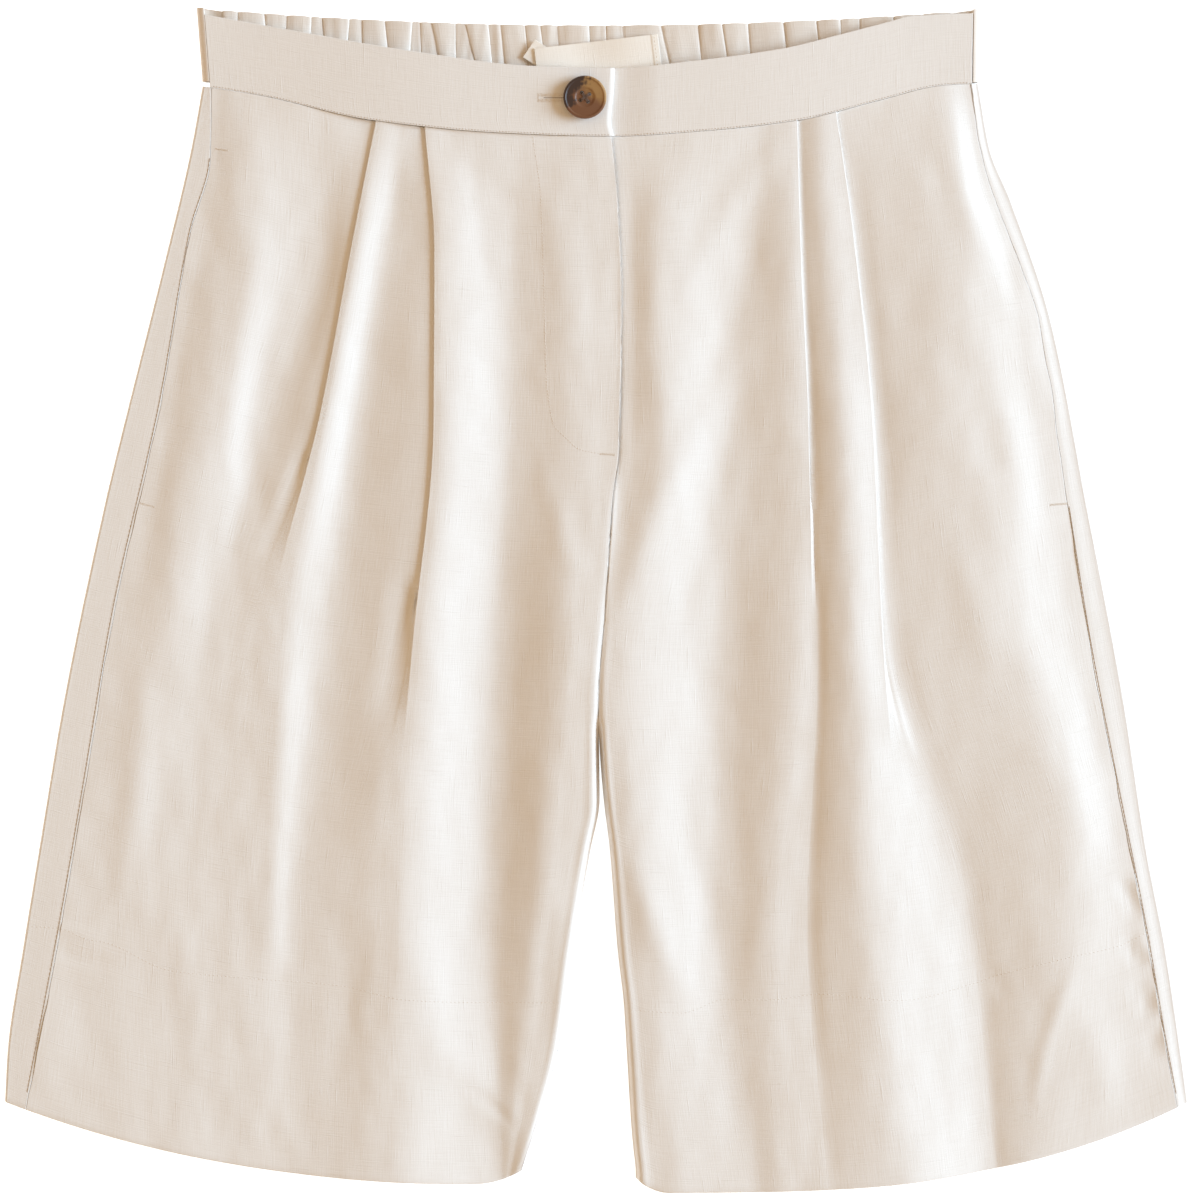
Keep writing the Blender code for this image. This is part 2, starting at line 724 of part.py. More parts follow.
def bar(shape, start, end, size):
    """A straight square bar between two points, in a bmesh."""
    middle = [(a + b) / 2 / METRE for a, b in zip(start, end)]
    made = bmesh.ops.create_cube(shape, size=1)["verts"]
    sizes = [(abs(b - a) + size) / METRE for a, b in zip(start, end)]
    bmesh.ops.scale(shape, vec=sizes, verts=made)
    bmesh.ops.translate(shape, vec=middle, verts=made)


def button_thread(finish):
    """The button's thread: a shank under it, and two stitches through its holes."""
    low = button_under()
    top = low + BUTTON_THICK - BUTTON_DISH + GAP + THREAD / 2
    bottom = BAND_MIDDLE_UP["right"] + BAND / 2 + GAP + THREAD / 2
    shank_top = low - GAP - THREAD / 2
    step = HOLE_OUT * math.cos(math.radians(45))
    shape = bmesh.new()
    for y in (-step, step):
        for x in (-step, step):
            bar(shape, (x, y, bottom), (x, y, top), THREAD)
        bar(shape, (-step, y, top), (step, y, top), THREAD)
    made = add("button_thread", shape, finish)
    made.location = (BUTTON_X / METRE, BUTTON_Y / METRE, 0)
    made.rotation_euler = (0, 0, BUTTON_TURN)
    made.data.shade_flat()
    shank = bmesh.new()
    bar(shank, (-step, -step, bottom), (step, step, shank_top), THREAD)
    base = add("cutter_shank", shank, finish)
    base.location = made.location
    base.rotation_euler = made.rotation_euler
    set_apart(base)
    join = made.modifiers.new("Shank", "BOOLEAN")
    join.object = base
    join.operation = "UNION"
    join.use_self = True


def new_collection(name):
    """A collection of its own in the scene."""
    made = bpy.data.collections.new(name)
    bpy.context.scene.collection.children.link(made)
    return made


for old_object in list(bpy.data.objects):
    bpy.data.objects.remove(old_object)
garment = new_collection("bermuda_shorts")
cutters = new_collection("cutters")
linen = material("linen", LINEN, 0.9)
thread = material("thread", THREAD_COLOUR, 0.7)
fronts(linen)
backs(linen)
back_band(linen)
front_bands(linen)
fly_shield(linen)
pockets(linen)
label(material("label_cloth", LABEL_CLOTH, 0.8))
button(material("horn", HORN, 0.2))
button_thread(thread)
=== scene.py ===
import math
from collections import namedtuple

import bmesh
import bpy
import numpy as np
from mathutils import Matrix, Vector, noise
from mathutils.bvhtree import BVHTree


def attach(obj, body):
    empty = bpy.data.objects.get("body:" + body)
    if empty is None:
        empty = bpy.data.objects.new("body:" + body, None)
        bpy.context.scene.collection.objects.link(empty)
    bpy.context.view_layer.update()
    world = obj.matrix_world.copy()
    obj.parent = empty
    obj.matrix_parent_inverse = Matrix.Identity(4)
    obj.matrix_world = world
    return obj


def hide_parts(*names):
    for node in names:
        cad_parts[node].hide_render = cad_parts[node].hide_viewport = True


# Pleated bermuda shorts of washed linen, laid flat on their back. Lengths are millimetres and are
# turned to metres when a mesh is made. X runs to the wearer's left, Y up to the waist, Z off the floor.
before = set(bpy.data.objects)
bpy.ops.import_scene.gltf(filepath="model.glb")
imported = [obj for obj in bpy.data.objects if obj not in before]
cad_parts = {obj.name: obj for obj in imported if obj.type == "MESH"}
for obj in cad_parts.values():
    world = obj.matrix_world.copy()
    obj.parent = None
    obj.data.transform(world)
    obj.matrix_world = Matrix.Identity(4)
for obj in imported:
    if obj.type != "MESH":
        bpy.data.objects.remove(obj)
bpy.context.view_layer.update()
MM = 0.001

# ---------------------------------------------------------------------------------------------
# The fronts: one piece of linen for each leg, with two pleats pressed towards the side and let
# go below the hip. The cloth turns up inside at the bottom into a deep hem.

SIDES = {"right": -1, "left": 1}
# Cloth
CLOTH = 0.5
GAP = 0.15  # between two pieces at a seam
TURNED = 0.25  # the cloth turns down at its edges over this width
SEAM_WAVE = 0.5  # how far the side seams stray from their line
SEAM_WAVE_LENGTH = 22.0
LAYER = 0.78  # from the middle of one layer of a fold to the middle of the next

# Lengths of the legs
HEM_DEPTH = 80.0
HEM_TURN = LAYER / 2
FLY_END = 68.0
FLY_STEP = 1.3  # the right front stands this much higher at the fly
FLY_UNDER = 0.5  # the left front reaches this far under the right one there
FORK = -53.0
TUCK_FLAT = 3.0  # the layers of a pleat lie flat on each other from this much tuck
STEP_WIDE = 4.0  # below its tuck a pleat is a step up to this wide, and then a soft ridge
STEP_FADES = 6.0  # the step turns into the ridge over this much tuck
FOLD_LIP = 0.7  # the upper layer of a fold reaches this far over the lower one
HOLLOW_STEEP = 1.6  # beside a pleat's edge the cloth of the left leg rises this much faster
EDGE_STEP = 0.16  # a pleat's edge turns down over this width
LEAN_MOST = 0.7  # the foot of a step lies at most this share of the way to the hollow

Edge = namedtuple("Edge", "y out up")
Side = namedtuple("Side", "y out")
Point = namedtuple("Point", "x y")
Hem = namedtuple("Hem", "low rise power corner corner_share")
Fold = namedtuple("Fold", "name out up")
Leg = namedtuple("Leg", "side folds tucks rim inner seam outline hem")
Turn = namedtuple("Turn", "at lean lip drop drop_flat")

# Where the cloth turns in a pleat, from the hollow to the edge. Each turn is at the edge or inside
# the fold, moved out by a share of the lean and in by a share of the lip. It lies this many layers
# down, and lower in a flat fold.
PLEAT = (
    Turn("edge", 1.0, 0.0, 2.0, 0.0),
    Turn("inside", 0.85, 0.0, 1.7, 0.3),
    Turn("inside", 0.7, 1 / 3, 1.35, 0.15),
    Turn("inside", 0.5, 0.0, 1.0, 0.0),
    Turn("edge", 0.35, 1.0, 0.7, 0.3),
    Turn("edge", 0.15, 1 / 3, 0.3, 0.2),
    Turn("edge", 0.0, 0.0, 0.0, 0.0),
)

# The lower edge of the front waistband
WAIST_SEAM = (
    Point(-196.0, 249.6),
    Point(-163.7, 244.4),
    Point(-110.0, 232.3),
    Point(-47.3, 226.0),
    Point(6.0, 224.3),
    Point(49.7, 226.8),
    Point(98.2, 232.3),
    Point(137.0, 242.0),
    Point(166.0, 249.0),
    Point(190.0, 250.7),
)

# The edge of the fly and the seam below it down to the fork, out to the left
CENTRE_LINE = (
    Edge(224.3, 7.0, 9.6),
    Edge(193.5, 9.9, 9.6),
    Edge(145.0, 11.9, 9.7),
    Edge(72.0, 10.4, 10.2),
    Edge(48.0, 7.5, 10.4),
    Edge(0.0, 4.1, 11.2),
    Edge(FORK, 0.3, 10.5),
)

# The inner edges of the legs below the fork
INSEAMS = {
    "right": (
        Edge(-75.0, -0.6, 2.4),
        Edge(-97.5, -0.8, 1.9),
        Edge(-121.7, 3.6, 2.3),
        Edge(-170.0, 11.9, 4.4),
        Edge(-196.0, 15.6, 5.0),
        Edge(-218.7, 19.2, 5.0),
        Edge(-257.5, 30.3, 5.0),
        Edge(-277.0, 36.6, 5.0),
    ),
    "left": (
        Edge(-75.0, 1.4, 2.4),
        Edge(-97.5, 3.2, 1.9),
        Edge(-121.7, 6.1, 2.3),
        Edge(-170.0, 9.9, 4.4),
        Edge(-196.0, 12.9, 5.0),
        Edge(-218.7, 14.3, 5.0),
        Edge(-257.5, 16.7, 5.0),
        Edge(-277.0, 18.7, 5.0),
    ),
}

# The side seams, which lie forward of the fold at the side
SIDE_SEAMS = {
    "right": (
        Edge(250.0, 187.3, 6.5),
        Edge(215.0, 188.0, 6.8),
        Edge(179.0, 197.6, 7.2),
        Edge(96.5, 212.2, 7.4),
        Edge(-5.0, 235.0, 7.6),
        Edge(-88.0, 249.0, 7.6),
        Edge(-156.0, 260.7, 7.6),
        Edge(-247.0, 278.0, 7.4),
    ),
    "left": (
        Edge(250.7, 181.0, 6.5),
        Edge(218.0, 186.0, 7.0),
        Edge(133.4, 214.6, 7.8),
        Edge(62.0, 226.0, 8.0),
        Edge(-21.8, 239.4, 8.0),
        Edge(-89.2, 252.4, 7.8),
        Edge(-163.0, 267.0, 7.6),
        Edge(-211.0, 275.2, 7.4),
        Edge(-247.0, 282.0, 7.2),
    ),
}

# The outline of the legs at the side
OUTLINES = {
    "right": (
        Side(250.0, 191.8),
        Side(218.0, 197.6),
        Side(164.0, 210.3),
        Side(96.5, 227.2),
        Side(48.0, 239.0),
        Side(-49.0, 259.2),
        Side(-122.0, 271.4),
        Side(-170.0, 279.2),
        Side(-219.0, 286.6),
        Side(-245.0, 288.0),
    ),
    "left": (
        Side(250.7, 185.6),
        Side(218.0, 191.5),
        Side(193.5, 201.5),
        Side(135.0, 221.0),
        Side(48.0, 238.0),
        Side(-49.0, 256.3),
        Side(-122.0, 267.5),
        Side(-170.0, 276.7),
        Side(-219.0, 284.0),
        Side(-245.0, 287.6),
    ),
}

# A hem is lowest near the inner edge, rises to the side as a power of the share of its width, and
# its inner corner is rounded off
HEMS = {
    "right": Hem(low=-284.6, rise=40.5, power=2.4, corner=7.0, corner_share=0.09),
    "left": Hem(low=-288.2, rise=44.0, power=3.1, corner=7.0, corner_share=0.06),
}

# Folds of the fronts, from the side to the middle, as shares of the way from the waist to the hem
STATIONS = (0.0, 0.12, 0.28, 0.5, 0.75, 1.0)
TUCKS = {
    "right": {
        "outer pleat": (8.0, 6.5, 2.4, -12.0, -20.0, -20.0),
        "inner pleat": (8.0, 6.5, 4.0, -2.0, -20.0, -20.0),
    },
    "left": {
        "outer pleat": (8.0, 6.5, 4.0, 0.4, -20.0, -20.0),
        "inner pleat": (8.0, 6.5, 4.0, -12.0, -20.0, -20.0),
    },
}
FOLDS = {
    "right": (
        Fold("side ridge", (171, 174, 185, 203, 222, 222), (7.6, 9.0, 9.6, 9.0, 8.0, 7.2)),
        Fold("outer hollow", (132, 132, 157, 185, 198, 200), (8.2, 6.0, 5.4, 7.4, 7.6, 7.2)),
        Fold("outer pleat", (107.4, 119, 134, 160, 172, 178), (9.2, 10.2, 10.5, 8.7, 8.2, 7.2)),
        Fold("outer roll", (105, 116.5, 131, 152, 160, 168), (9.3, 10.4, 10.7, 8.8, 8.2, 7.2)),
        Fold("middle hollow", (92, 103, 117, 133, 148, 149), (8.6, 7.0, 6.5, 5.6, 6.9, 7.4)),
        Fold("inner pleat", (83.7, 79, 79.4, 90, 100, 104), (9.3, 11.2, 12.9, 12.2, 11.0, 10.2)),
        Fold("inner roll", (81, 76, 76, 86, 96, 98), (9.4, 11.5, 13.1, 12.4, 11.2, 10.2)),
        Fold("centre hollow", (45, 42, 44, 50, 53, 47), (9.2, 6.5, 6.0, 4.0, 3.2, 3.4)),
        Fold("centre ridge", (10, 8, 9, 14, 27, 43.5), (9.9, 9.4, 10.0, 12.0, 8.6, 3.8)),
    ),
    "left": (
        Fold("side ridge", (168, 176, 183, 200, 232, 216), (7.8, 12.2, 13.8, 13.6, 11.6, 8.6)),
        Fold("outer hollow", (116.9, 125.6, 134.2, 143, 180, 194), (7.6, 8.0, 9.0, 10.0, 6.6, 5.4)),
        Fold("outer pleat", (115.7, 124.4, 133, 138.5, 150, 166), (9.1, 9.7, 10.8, 12.2, 13.2, 13.6)),
        Fold("outer roll", (108, 112, 119, 125, 130, 146), (9.8, 10.8, 12.9, 14.8, 15.2, 14.8)),
        Fold("middle hollow", (97.9, 99.7, 103.4, 107.0, 102, 112), (7.8, 8.3, 9.0, 10.2, 9.8, 12.2)),
        Fold("inner pleat", (96.8, 98.5, 102.2, 104, 92, 100), (9.3, 10.0, 10.7, 10.6, 10.4, 12.0)),
        Fold("inner roll", (94, 95.5, 99, 99, 86, 92), (9.4, 10.2, 10.8, 10.7, 10.0, 11.6)),
        Fold("centre hollow", (76, 72, 63, 58, 58, 74), (9.0, 7.2, 6.4, 4.8, 6.0, 10.0)),
        Fold("centre ridge", (34, 29, 32, 12, 26, 40), (9.4, 11.2, 11.8, 11.8, 11.0, 10.6)),
    ),
}
RIM_IN = 2.4  # the cloth comes down to the edges of the legs over this width
RIMS = {"right": (9.7, 9.5, 10.0, 11.8, 9.0, 5.0), "left": (8.5, 8.6, 9.4, 11.6, 10.0, 9.8)}
SPANS = (4, 5, 9, 4, 4, 9, 3, 5, 5, 4, 4)  # steps from one fold to the next
FINER = 3  # each of those steps is parted again
ROWS = 210
HEM_ROWS = 30
HEM_TURN_ANGLES = (36, 72, 108, 144)


def mix(a, b, share):
    """The value that lies this share of the way from a to b."""
    return a + (b - a) * share


def ease(share):
    """A share from 0 to 1 that starts and ends gently."""
    share = np.clip(share, 0, 1)
    return share * share * (3 - 2 * share)


def bend(share, a, b, slope_a, slope_b):
    """A cubic from a to b with the given slopes, at a share of its length."""
    left = 1 - share
    turn = share * left * (left * (slope_a - (b - a)) - share * (slope_b - (b - a)))
    return mix(a, b, share) + turn


def glide(at, places, values):
    """Reads the smooth line through the values at their places, which never overshoots them."""
    order = np.argsort(places)
    x = np.array(places, float)[order]
    y = np.array(values, float)[order]
    step = np.diff(x)
    rise = np.diff(y) / step
    slope = np.concatenate([rise[:1], np.zeros(len(x) - 2), rise[-1:]])
    runs_on = rise[:-1] * rise[1:] > 0
    both = rise[:-1] + rise[1:]
    slope[1:-1][runs_on] = (2 * rise[:-1] * rise[1:])[runs_on] / both[runs_on]
    at = np.clip(at, x[0], x[-1])
    i = np.clip(np.searchsorted(x, at) - 1, 0, len(step) - 1)
    share = (at - x[i]) / step[i]
    return bend(share, y[i], y[i + 1], slope[i] * step[i], slope[i + 1] * step[i])


def column(rows, name):
    """One column of a table."""
    return [getattr(row, name) for row in rows]


def inner_edge(name):
    """The table of a leg's inner edge: the line of the fly, then the inside of the leg."""
    rows = []
    for row in CENTRE_LINE:
        if name == "right":
            rows.append(Edge(row.y, -row.out, row.up))
        else:
            step, past = (FLY_STEP, -FLY_UNDER) if row.y > FLY_END else (0.0, GAP)
            rows.append(Edge(row.y, row.out + past, row.up - step))
    return (*rows, *INSEAMS[name])


def leg_of(name):
    """All the tables of one leg."""
    tables = [table[name] for table in (SIDES, FOLDS, TUCKS, RIMS)]
    return Leg(*tables, inner_edge(name), SIDE_SEAMS[name], OUTLINES[name], HEMS[name])


def waist_y(x):
    """The height of the front waist seam on the shorts."""
    return glide(x, column(WAIST_SEAM, "x"), column(WAIST_SEAM, "y"))


def hem_y(hem, share):
    """The middle of the cloth at a hem, just before it turns up inside."""
    share = np.clip(share, 0, 1)
    corner = hem.corner * np.clip(1 - share / hem.corner_share, 0, 1) ** 2
    return hem.low + CLOTH / 2 + HEM_TURN + corner + hem.rise * share**hem.power


def middle_y(leg, v):
    """The Y of a leg's inner edge at v."""
    return mix(waist_y(leg.side * leg.inner[0].out), hem_y(leg.hem, 0), v)


def edges(leg, v):
    """The inner edge, side seam and outline of a leg at v."""
    middle = middle_y(leg, v)
    side_y = mix(waist_y(leg.side * leg.outline[0].out), hem_y(leg.hem, 1), v)
    inner = [glide(middle, column(leg.inner, "y"), column(leg.inner, n)) for n in ("out", "up")]
    seam = [glide(side_y, column(leg.seam, "y"), column(leg.seam, n)) for n in ("out", "up")]
    where = (side_y / SEAM_WAVE_LENGTH, leg.side * 5.0, 1.0)
    seam[0] += SEAM_WAVE * noise.fractal(where, 0.8, 2.0, 2)
    outline = glide(side_y, column(leg.outline, "y"), column(leg.outline, "out"))
    return inner, seam, outline


def down_the_leg(leg, out, v, waist=waist_y):
    """The Y of a point of a leg, from how far out it is and its share of the way to the hem."""
    inner, _, outline = edges(leg, v)
    share = (out - inner[0]) / (outline - inner[0])
    at_waist = mix(leg.inner[0].out, leg.outline[0].out, share)
    return mix(waist(leg.side * at_waist), hem_y(leg.hem, share), v)


def span(a, b, steps, slope_a=0.0, slope_b=0.0):
    """Points from a to b, each (out, up), without a itself."""
    share = np.arange(1, steps + 1) / steps
    reach = b[0] - a[0]
    up = bend(share, a[1], b[1], slope_a * reach, slope_b * reach)
    return np.stack([mix(a[0], b[0], share), up], axis=1)


def soft(hollow, roll, out):
    """How high the soft slope from a hollow to a roll is, this far out."""
    return bend((out - hollow[0]) / (roll[0] - hollow[0]), hollow[1], roll[1], 0.0, 0.0)


def pleat(hollow, edge, roll, beyond, tuck, steps):
    """The cloth from a hollow to a pleat's edge, tucked back under the roll or a mere step."""
    lean = min(max(-tuck, 0.0), LEAN_MOST * (hollow[0] - edge[0]))
    under = max(tuck, 0.0)
    inside = edge[0] - under
    if inside > roll[0]:
        above = mix(edge[1], roll[1], under / (edge[0] - roll[0]))
    else:
        above = mix(roll[1], beyond[1], ease((roll[0] - inside) / (roll[0] - beyond[0])))
    flat = min(under / TUCK_FLAT, 1.0)
    places = {"edge": edge, "inside": (inside, above)}
    folded = []
    for turn in PLEAT:
        out, up = places[turn.at]
        out = out + turn.lean * lean - turn.lip * FOLD_LIP * flat
        folded.append((out, up - (turn.drop + turn.drop_flat * flat) * LAYER))
    way_in = span(hollow, folded[0], steps - len(folded) + 1)[:-1]
    return np.concatenate([way_in, folded])


def front_section(leg, v):
    """The middle of the cloth across a front at v, from the side seam to the inner edge."""
    inner, seam, _ = edges(leg, v)
    knots = [(glide(v, STATIONS, fold.out), glide(v, STATIONS, fold.up)) for fold in leg.folds]
    rim = (inner[0] + RIM_IN, glide(v, STATIONS, leg.rim))
    knots = [tuple(seam), *knots, rim, tuple(inner)]
    line = [np.array([seam])]
    for i, steps in enumerate(SPANS):
        name = leg.folds[i].name if i < len(leg.folds) else "inner edge"
        a, b = knots[i], knots[i + 1]
        if "pleat" in name:
            tuck = glide(v, STATIONS, leg.tucks[name])
            fades = ease((-tuck - STEP_WIDE) / STEP_FADES)
            part = pleat(*knots[i : i + 4], tuck, steps)
            part[:, 1] = mix(part[:, 1], soft(a, knots[i + 2], part[:, 0]), fades)
        elif "roll" in name:
            part = span(a, b, steps - 1, (b[1] - a[1]) / (b[0] - a[0]), 0.0)
            turned = mix(np.array(a), np.array(b), EDGE_STEP / (a[0] - b[0]))
            part = np.insert(part, 0, turned, axis=0)
            part[:, 1] = mix(part[:, 1], soft(knots[i - 1], b, part[:, 0]), fades)
        elif "hollow" in name and "centre" not in name:
            steep = HOLLOW_STEEP if leg.side > 0 else 0.0
            part = span(a, b, steps, 0.0, steep * (b[1] - a[1]) / (b[0] - a[0]))
        else:
            part = span(a, b, steps)
        line.append(part)
    return np.concatenate(line)


def moved_in(line, distance):
    """A section moved sideways by a distance, to the left of the way it runs."""
    ahead = np.gradient(line, axis=0)
    ahead[[0, -1], 1] = 0
    ahead /= np.linalg.norm(ahead, axis=1, keepdims=True)
    return line + distance * np.stack([-ahead[:, 1], ahead[:, 0]], axis=1)


def smoother(line, steps):
    """The soft line through the points of a section, with this many steps from each to the next."""
    step = np.diff(line, axis=0)
    length = np.linalg.norm(step, axis=1, keepdims=True)
    ahead = step / length
    slope = (ahead[:-1] * length[1:] + ahead[1:] * length[:-1]) / (length[:-1] + length[1:])
    slope = np.concatenate([ahead[:1], slope, ahead[-1:]])
    share = (np.arange(steps) / steps)[None, :, None]
    start, end, reach = line[:-1, None], line[1:, None], length[:, None]
    fine = bend(share, start, end, slope[:-1, None] * reach, slope[1:, None] * reach)
    return np.concatenate([fine.reshape(-1, line.shape[1]), line[-1:]])


def panel(leg, section, waist=waist_y):
    """The points of a leg's panel, down to the hem, round it and up again inside."""
    length = waist(0.0) - leg.hem.low
    down = np.linspace(0, 1, ROWS)
    up_inside = np.linspace(1, 1 - HEM_DEPTH / length, HEM_ROWS)
    turn = np.radians(HEM_TURN_ANGLES)
    shares = [*down, *[1.0] * len(turn), *up_inside]
    depths = [*[0.0] * ROWS, *((1 - np.cos(turn)) / 2), *[1.0] * HEM_ROWS]
    drops = [*[0.0] * ROWS, *np.sin(turn), *[0.0] * HEM_ROWS]
    grid = []
    for v, depth, drop in zip(shares, depths, drops):
        line = smoother(moved_in(section(leg, v), depth * LAYER), FINER)
        y = down_the_leg(leg, line[:, 0], v, waist)
        y -= HEM_TURN * drop
        grid.append(np.stack([leg.side * line[:, 0], y, line[:, 1]], axis=1))
    return np.array(grid)


UNEVEN = 0.55  # how far the cloth strays from flat by itself
UNEVEN_SIZE = (34.0, 60.0)  # how wide and how long its own swells are
CREASE_FADES = 4.0  # a crease fades past its ends over this length
CREASE_ROUND = 0.6  # below 1 it keeps its height for longer towards its ends


def creased(grid, creases, seed):
    """A grid of points with its creases: each a soft ridge or trough along a bowed line."""
    x, y = grid[..., 0], grid[..., 1]
    lift = np.zeros_like(x)
    for crease in creases:
        run = np.array([crease.x1 - crease.x0, crease.y1 - crease.y0], float)
        length = np.linalg.norm(run)
        run /= length
        along = ((x - crease.x0) * run[0] + (y - crease.y0) * run[1]) / length
        aside = (y - crease.y0) * run[0] - (x - crease.x0) * run[1]
        inside = np.clip(along, 0, 1)
        aside = aside - 4 * crease.bow * inside * (1 - inside)
        taper = np.sin(math.pi * inside) ** CREASE_ROUND
        past = np.abs(along - inside) * length
        beside = (aside / crease.width) ** 2 + (past / CREASE_FADES) ** 2
        lift += crease.height * taper * np.exp(-beside)
    across, down = UNEVEN_SIZE
    swells = [Vector((a / across, b / down, seed)) for a, b in zip(x.flat, y.flat)]
    wave = [noise.fractal(where, 0.8, 2.1, 3) for where in swells]
    made = grid.copy()
    made[..., 2] += lift + UNEVEN * np.array(wave).reshape(x.shape)
    return made


def edged(grid):
    """A grid with one more row close to its first and last ones."""
    first, last = grid[1] - grid[0], grid[-2] - grid[-1]
    near_first = grid[0] + first * TURNED / np.linalg.norm(first, axis=1, keepdims=True)
    near_last = grid[-1] + last * TURNED / np.linalg.norm(last, axis=1, keepdims=True)
    return np.concatenate([grid[:1], near_first[None], grid[1:-1], near_last[None], grid[-1:]])


GRAIN_ROW = 0.6  # the threads are spaced as they lie at this share of the rows


def cloth(name, grid, thickness, finish):
    """A sheet of cloth through a grid of points, with its thickness and the lie of its threads."""
    grid = edged(edged(grid).swapaxes(0, 1)).swapaxes(0, 1)
    rows, columns = grid.shape[:2]
    shape = bmesh.new()
    bmesh.ops.create_grid(shape, x_segments=columns - 1, y_segments=rows - 1, size=1)
    for vertex, point in zip(shape.verts, grid.reshape(-1, 3)):
        vertex.co = point * MM
    mesh = bpy.data.meshes.new(name)
    shape.to_mesh(mesh)
    shape.free()
    widest = grid[int(GRAIN_ROW * rows)]
    across = np.linalg.norm(np.diff(widest, axis=0), axis=1)
    down = np.linalg.norm(np.diff(grid, axis=0), axis=2).mean(axis=1)
    u = np.tile(np.concatenate([[0], np.cumsum(across)]), (rows, 1))
    v = np.tile(np.concatenate([[0], np.cumsum(down)])[:, None], (1, columns))
    threads = np.stack([u, v], axis=2).reshape(-1, 2)
    corners = np.empty(len(mesh.loops), np.int32)
    mesh.loops.foreach_get("vertex_index", corners)
    lie = mesh.uv_layers.new(name="threads")
    lie.data.foreach_set("uv", threads[corners].ravel())
    mesh.materials.append(finish)
    mesh.shade_smooth()
    made = bpy.data.objects.new(name, mesh)
    bpy.context.scene.collection.objects.link(made)
    wall = made.modifiers.new("Cloth", "SOLIDIFY")
    wall.thickness = thickness * MM
    wall.offset = 0
    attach(made, "root")
    return made


class Shade:
    """A value in a finish, so that sums on it can be written plainly."""

    def __init__(self, tree, socket=None):
        self.tree = tree
        self.socket = socket

    def node(self, kind, settings=(), sockets=(), out=0):
        """Adds a node with its settings and its sockets' values or links, and gives one output."""
        made = self.tree.nodes.new(kind)
        for key, value in dict(settings).items():
            setattr(made, key, value)
        for key, value in dict(sockets).items():
            if isinstance(value, Shade):
                self.tree.links.new(value.socket, made.inputs[key])
            else:
                made.inputs[key].default_value = value
        return Shade(self.tree, made.outputs[out])

    def maths(self, operation, other):
        """This value with another one or a number."""
        return self.node("ShaderNodeMath", {"operation": operation}, {0: self, 1: other})

    def __add__(self, other):
        return self.maths("ADD", other)

    def __sub__(self, other):
        return self.maths("SUBTRACT", other)

    def __mul__(self, other):
        return self.maths("MULTIPLY", other)

    def shares(self, low, high):
        """0 below low, 1 above high, and soft between."""
        settings = {"interpolation_type": "SMOOTHSTEP"}
        sockets = {"Value": self, "From Min": low, "From Max": high}
        return self.node("ShaderNodeMapRange", settings, sockets)

    def grain(self, where, sizes, detail=2.0, rough=0.5):
        """Soft noise whose spots have these sizes along the axes of where."""
        stretched = self.node(
            "ShaderNodeMapping",
            {"vector_type": "POINT"},
            {"Vector": where, "Scale": [1 / size for size in sizes]},
        )
        sockets = {"Vector": stretched, "Scale": 1.0, "Detail": detail, "Roughness": rough}
        return self.node("ShaderNodeTexNoise", {}, sockets)

    def between(self, share, a, b):
        """A colour between two, the first of which may itself be mixed."""
        a = a if isinstance(a, Shade) else (*a, 1)
        sockets = {0: share, 6: a, 7: (*b, 1)}
        return self.node("ShaderNodeMix", {"data_type": "RGBA"}, sockets, out=2)

    def bumped(self, height, depth):
        """A normal for a relief of this depth in millimetres."""
        sockets = {"Height": height, "Distance": depth * MM, "Strength": 1.0}
        return self.node("ShaderNodeBump", {}, sockets)


def finish(name, **constants):
    """A new material, its Principled shader and a Shade to mix it with."""
    made = bpy.data.materials.new(name)
    made.use_nodes = True
    shader = made.node_tree.nodes["Principled BSDF"]
    for key, value in constants.items():
        shader.inputs[key.replace("_", " ")].default_value = value
    return made, shader, Shade(made.node_tree)


def given(shader, **links):
    """Links what changes over the surface to the sockets of a shader."""
    tree = shader.id_data
    for key, value in links.items():
        tree.links.new(value.socket, shader.inputs[key.replace("_", " ")])


WEAVE_DEPTH = 0.18
YARN = (0.55, 14.0)  # how thick a yarn is, and how long it stays the same
SLUB = (0.9, 22.0)
SLUB_ACROSS = (0.9, 20.0)


def linen(name, tint, shade_tint):
    """Washed linen: uneven yarns both ways, some of them slubs, and a dry soft sheen."""
    made, shader, mixed = finish(
        name, Roughness=0.85, Sheen_Weight=0.25, Sheen_Roughness=0.5, Specular_IOR_Level=0.2
    )
    threads = mixed.node("ShaderNodeUVMap", {"uv_map": "threads"})
    warp = mixed.grain(threads, (*YARN, 1), 3.0, 0.6)
    weft = mixed.grain(threads, (*YARN[::-1], 1), 3.0, 0.6)
    slub = mixed.grain(threads, (*SLUB, 1)).shares(0.62, 0.74)
    slub_across = mixed.grain(threads, (*SLUB_ACROSS[::-1], 1)).shares(0.62, 0.74)
    cloudy = mixed.grain(threads, (30, 45, 1), 2.0)
    yarn = warp * 0.5 + weft * 0.5
    share = (yarn.shares(0.32, 0.68) * 0.55) + slub * -0.16 + slub_across * -0.16 + cloudy * 0.5
    given(
        shader,
        Base_Color=mixed.between(share, shade_tint, tint),
        Normal=mixed.bumped(yarn + slub * 0.25 + slub_across * 0.25, WEAVE_DEPTH),
    )
    return made


LINEN_TINT = (0.90, 0.868, 0.838)
LINEN_SHADE = (0.83, 0.79, 0.75)
linen_cloth = linen("linen", LINEN_TINT, LINEN_SHADE)

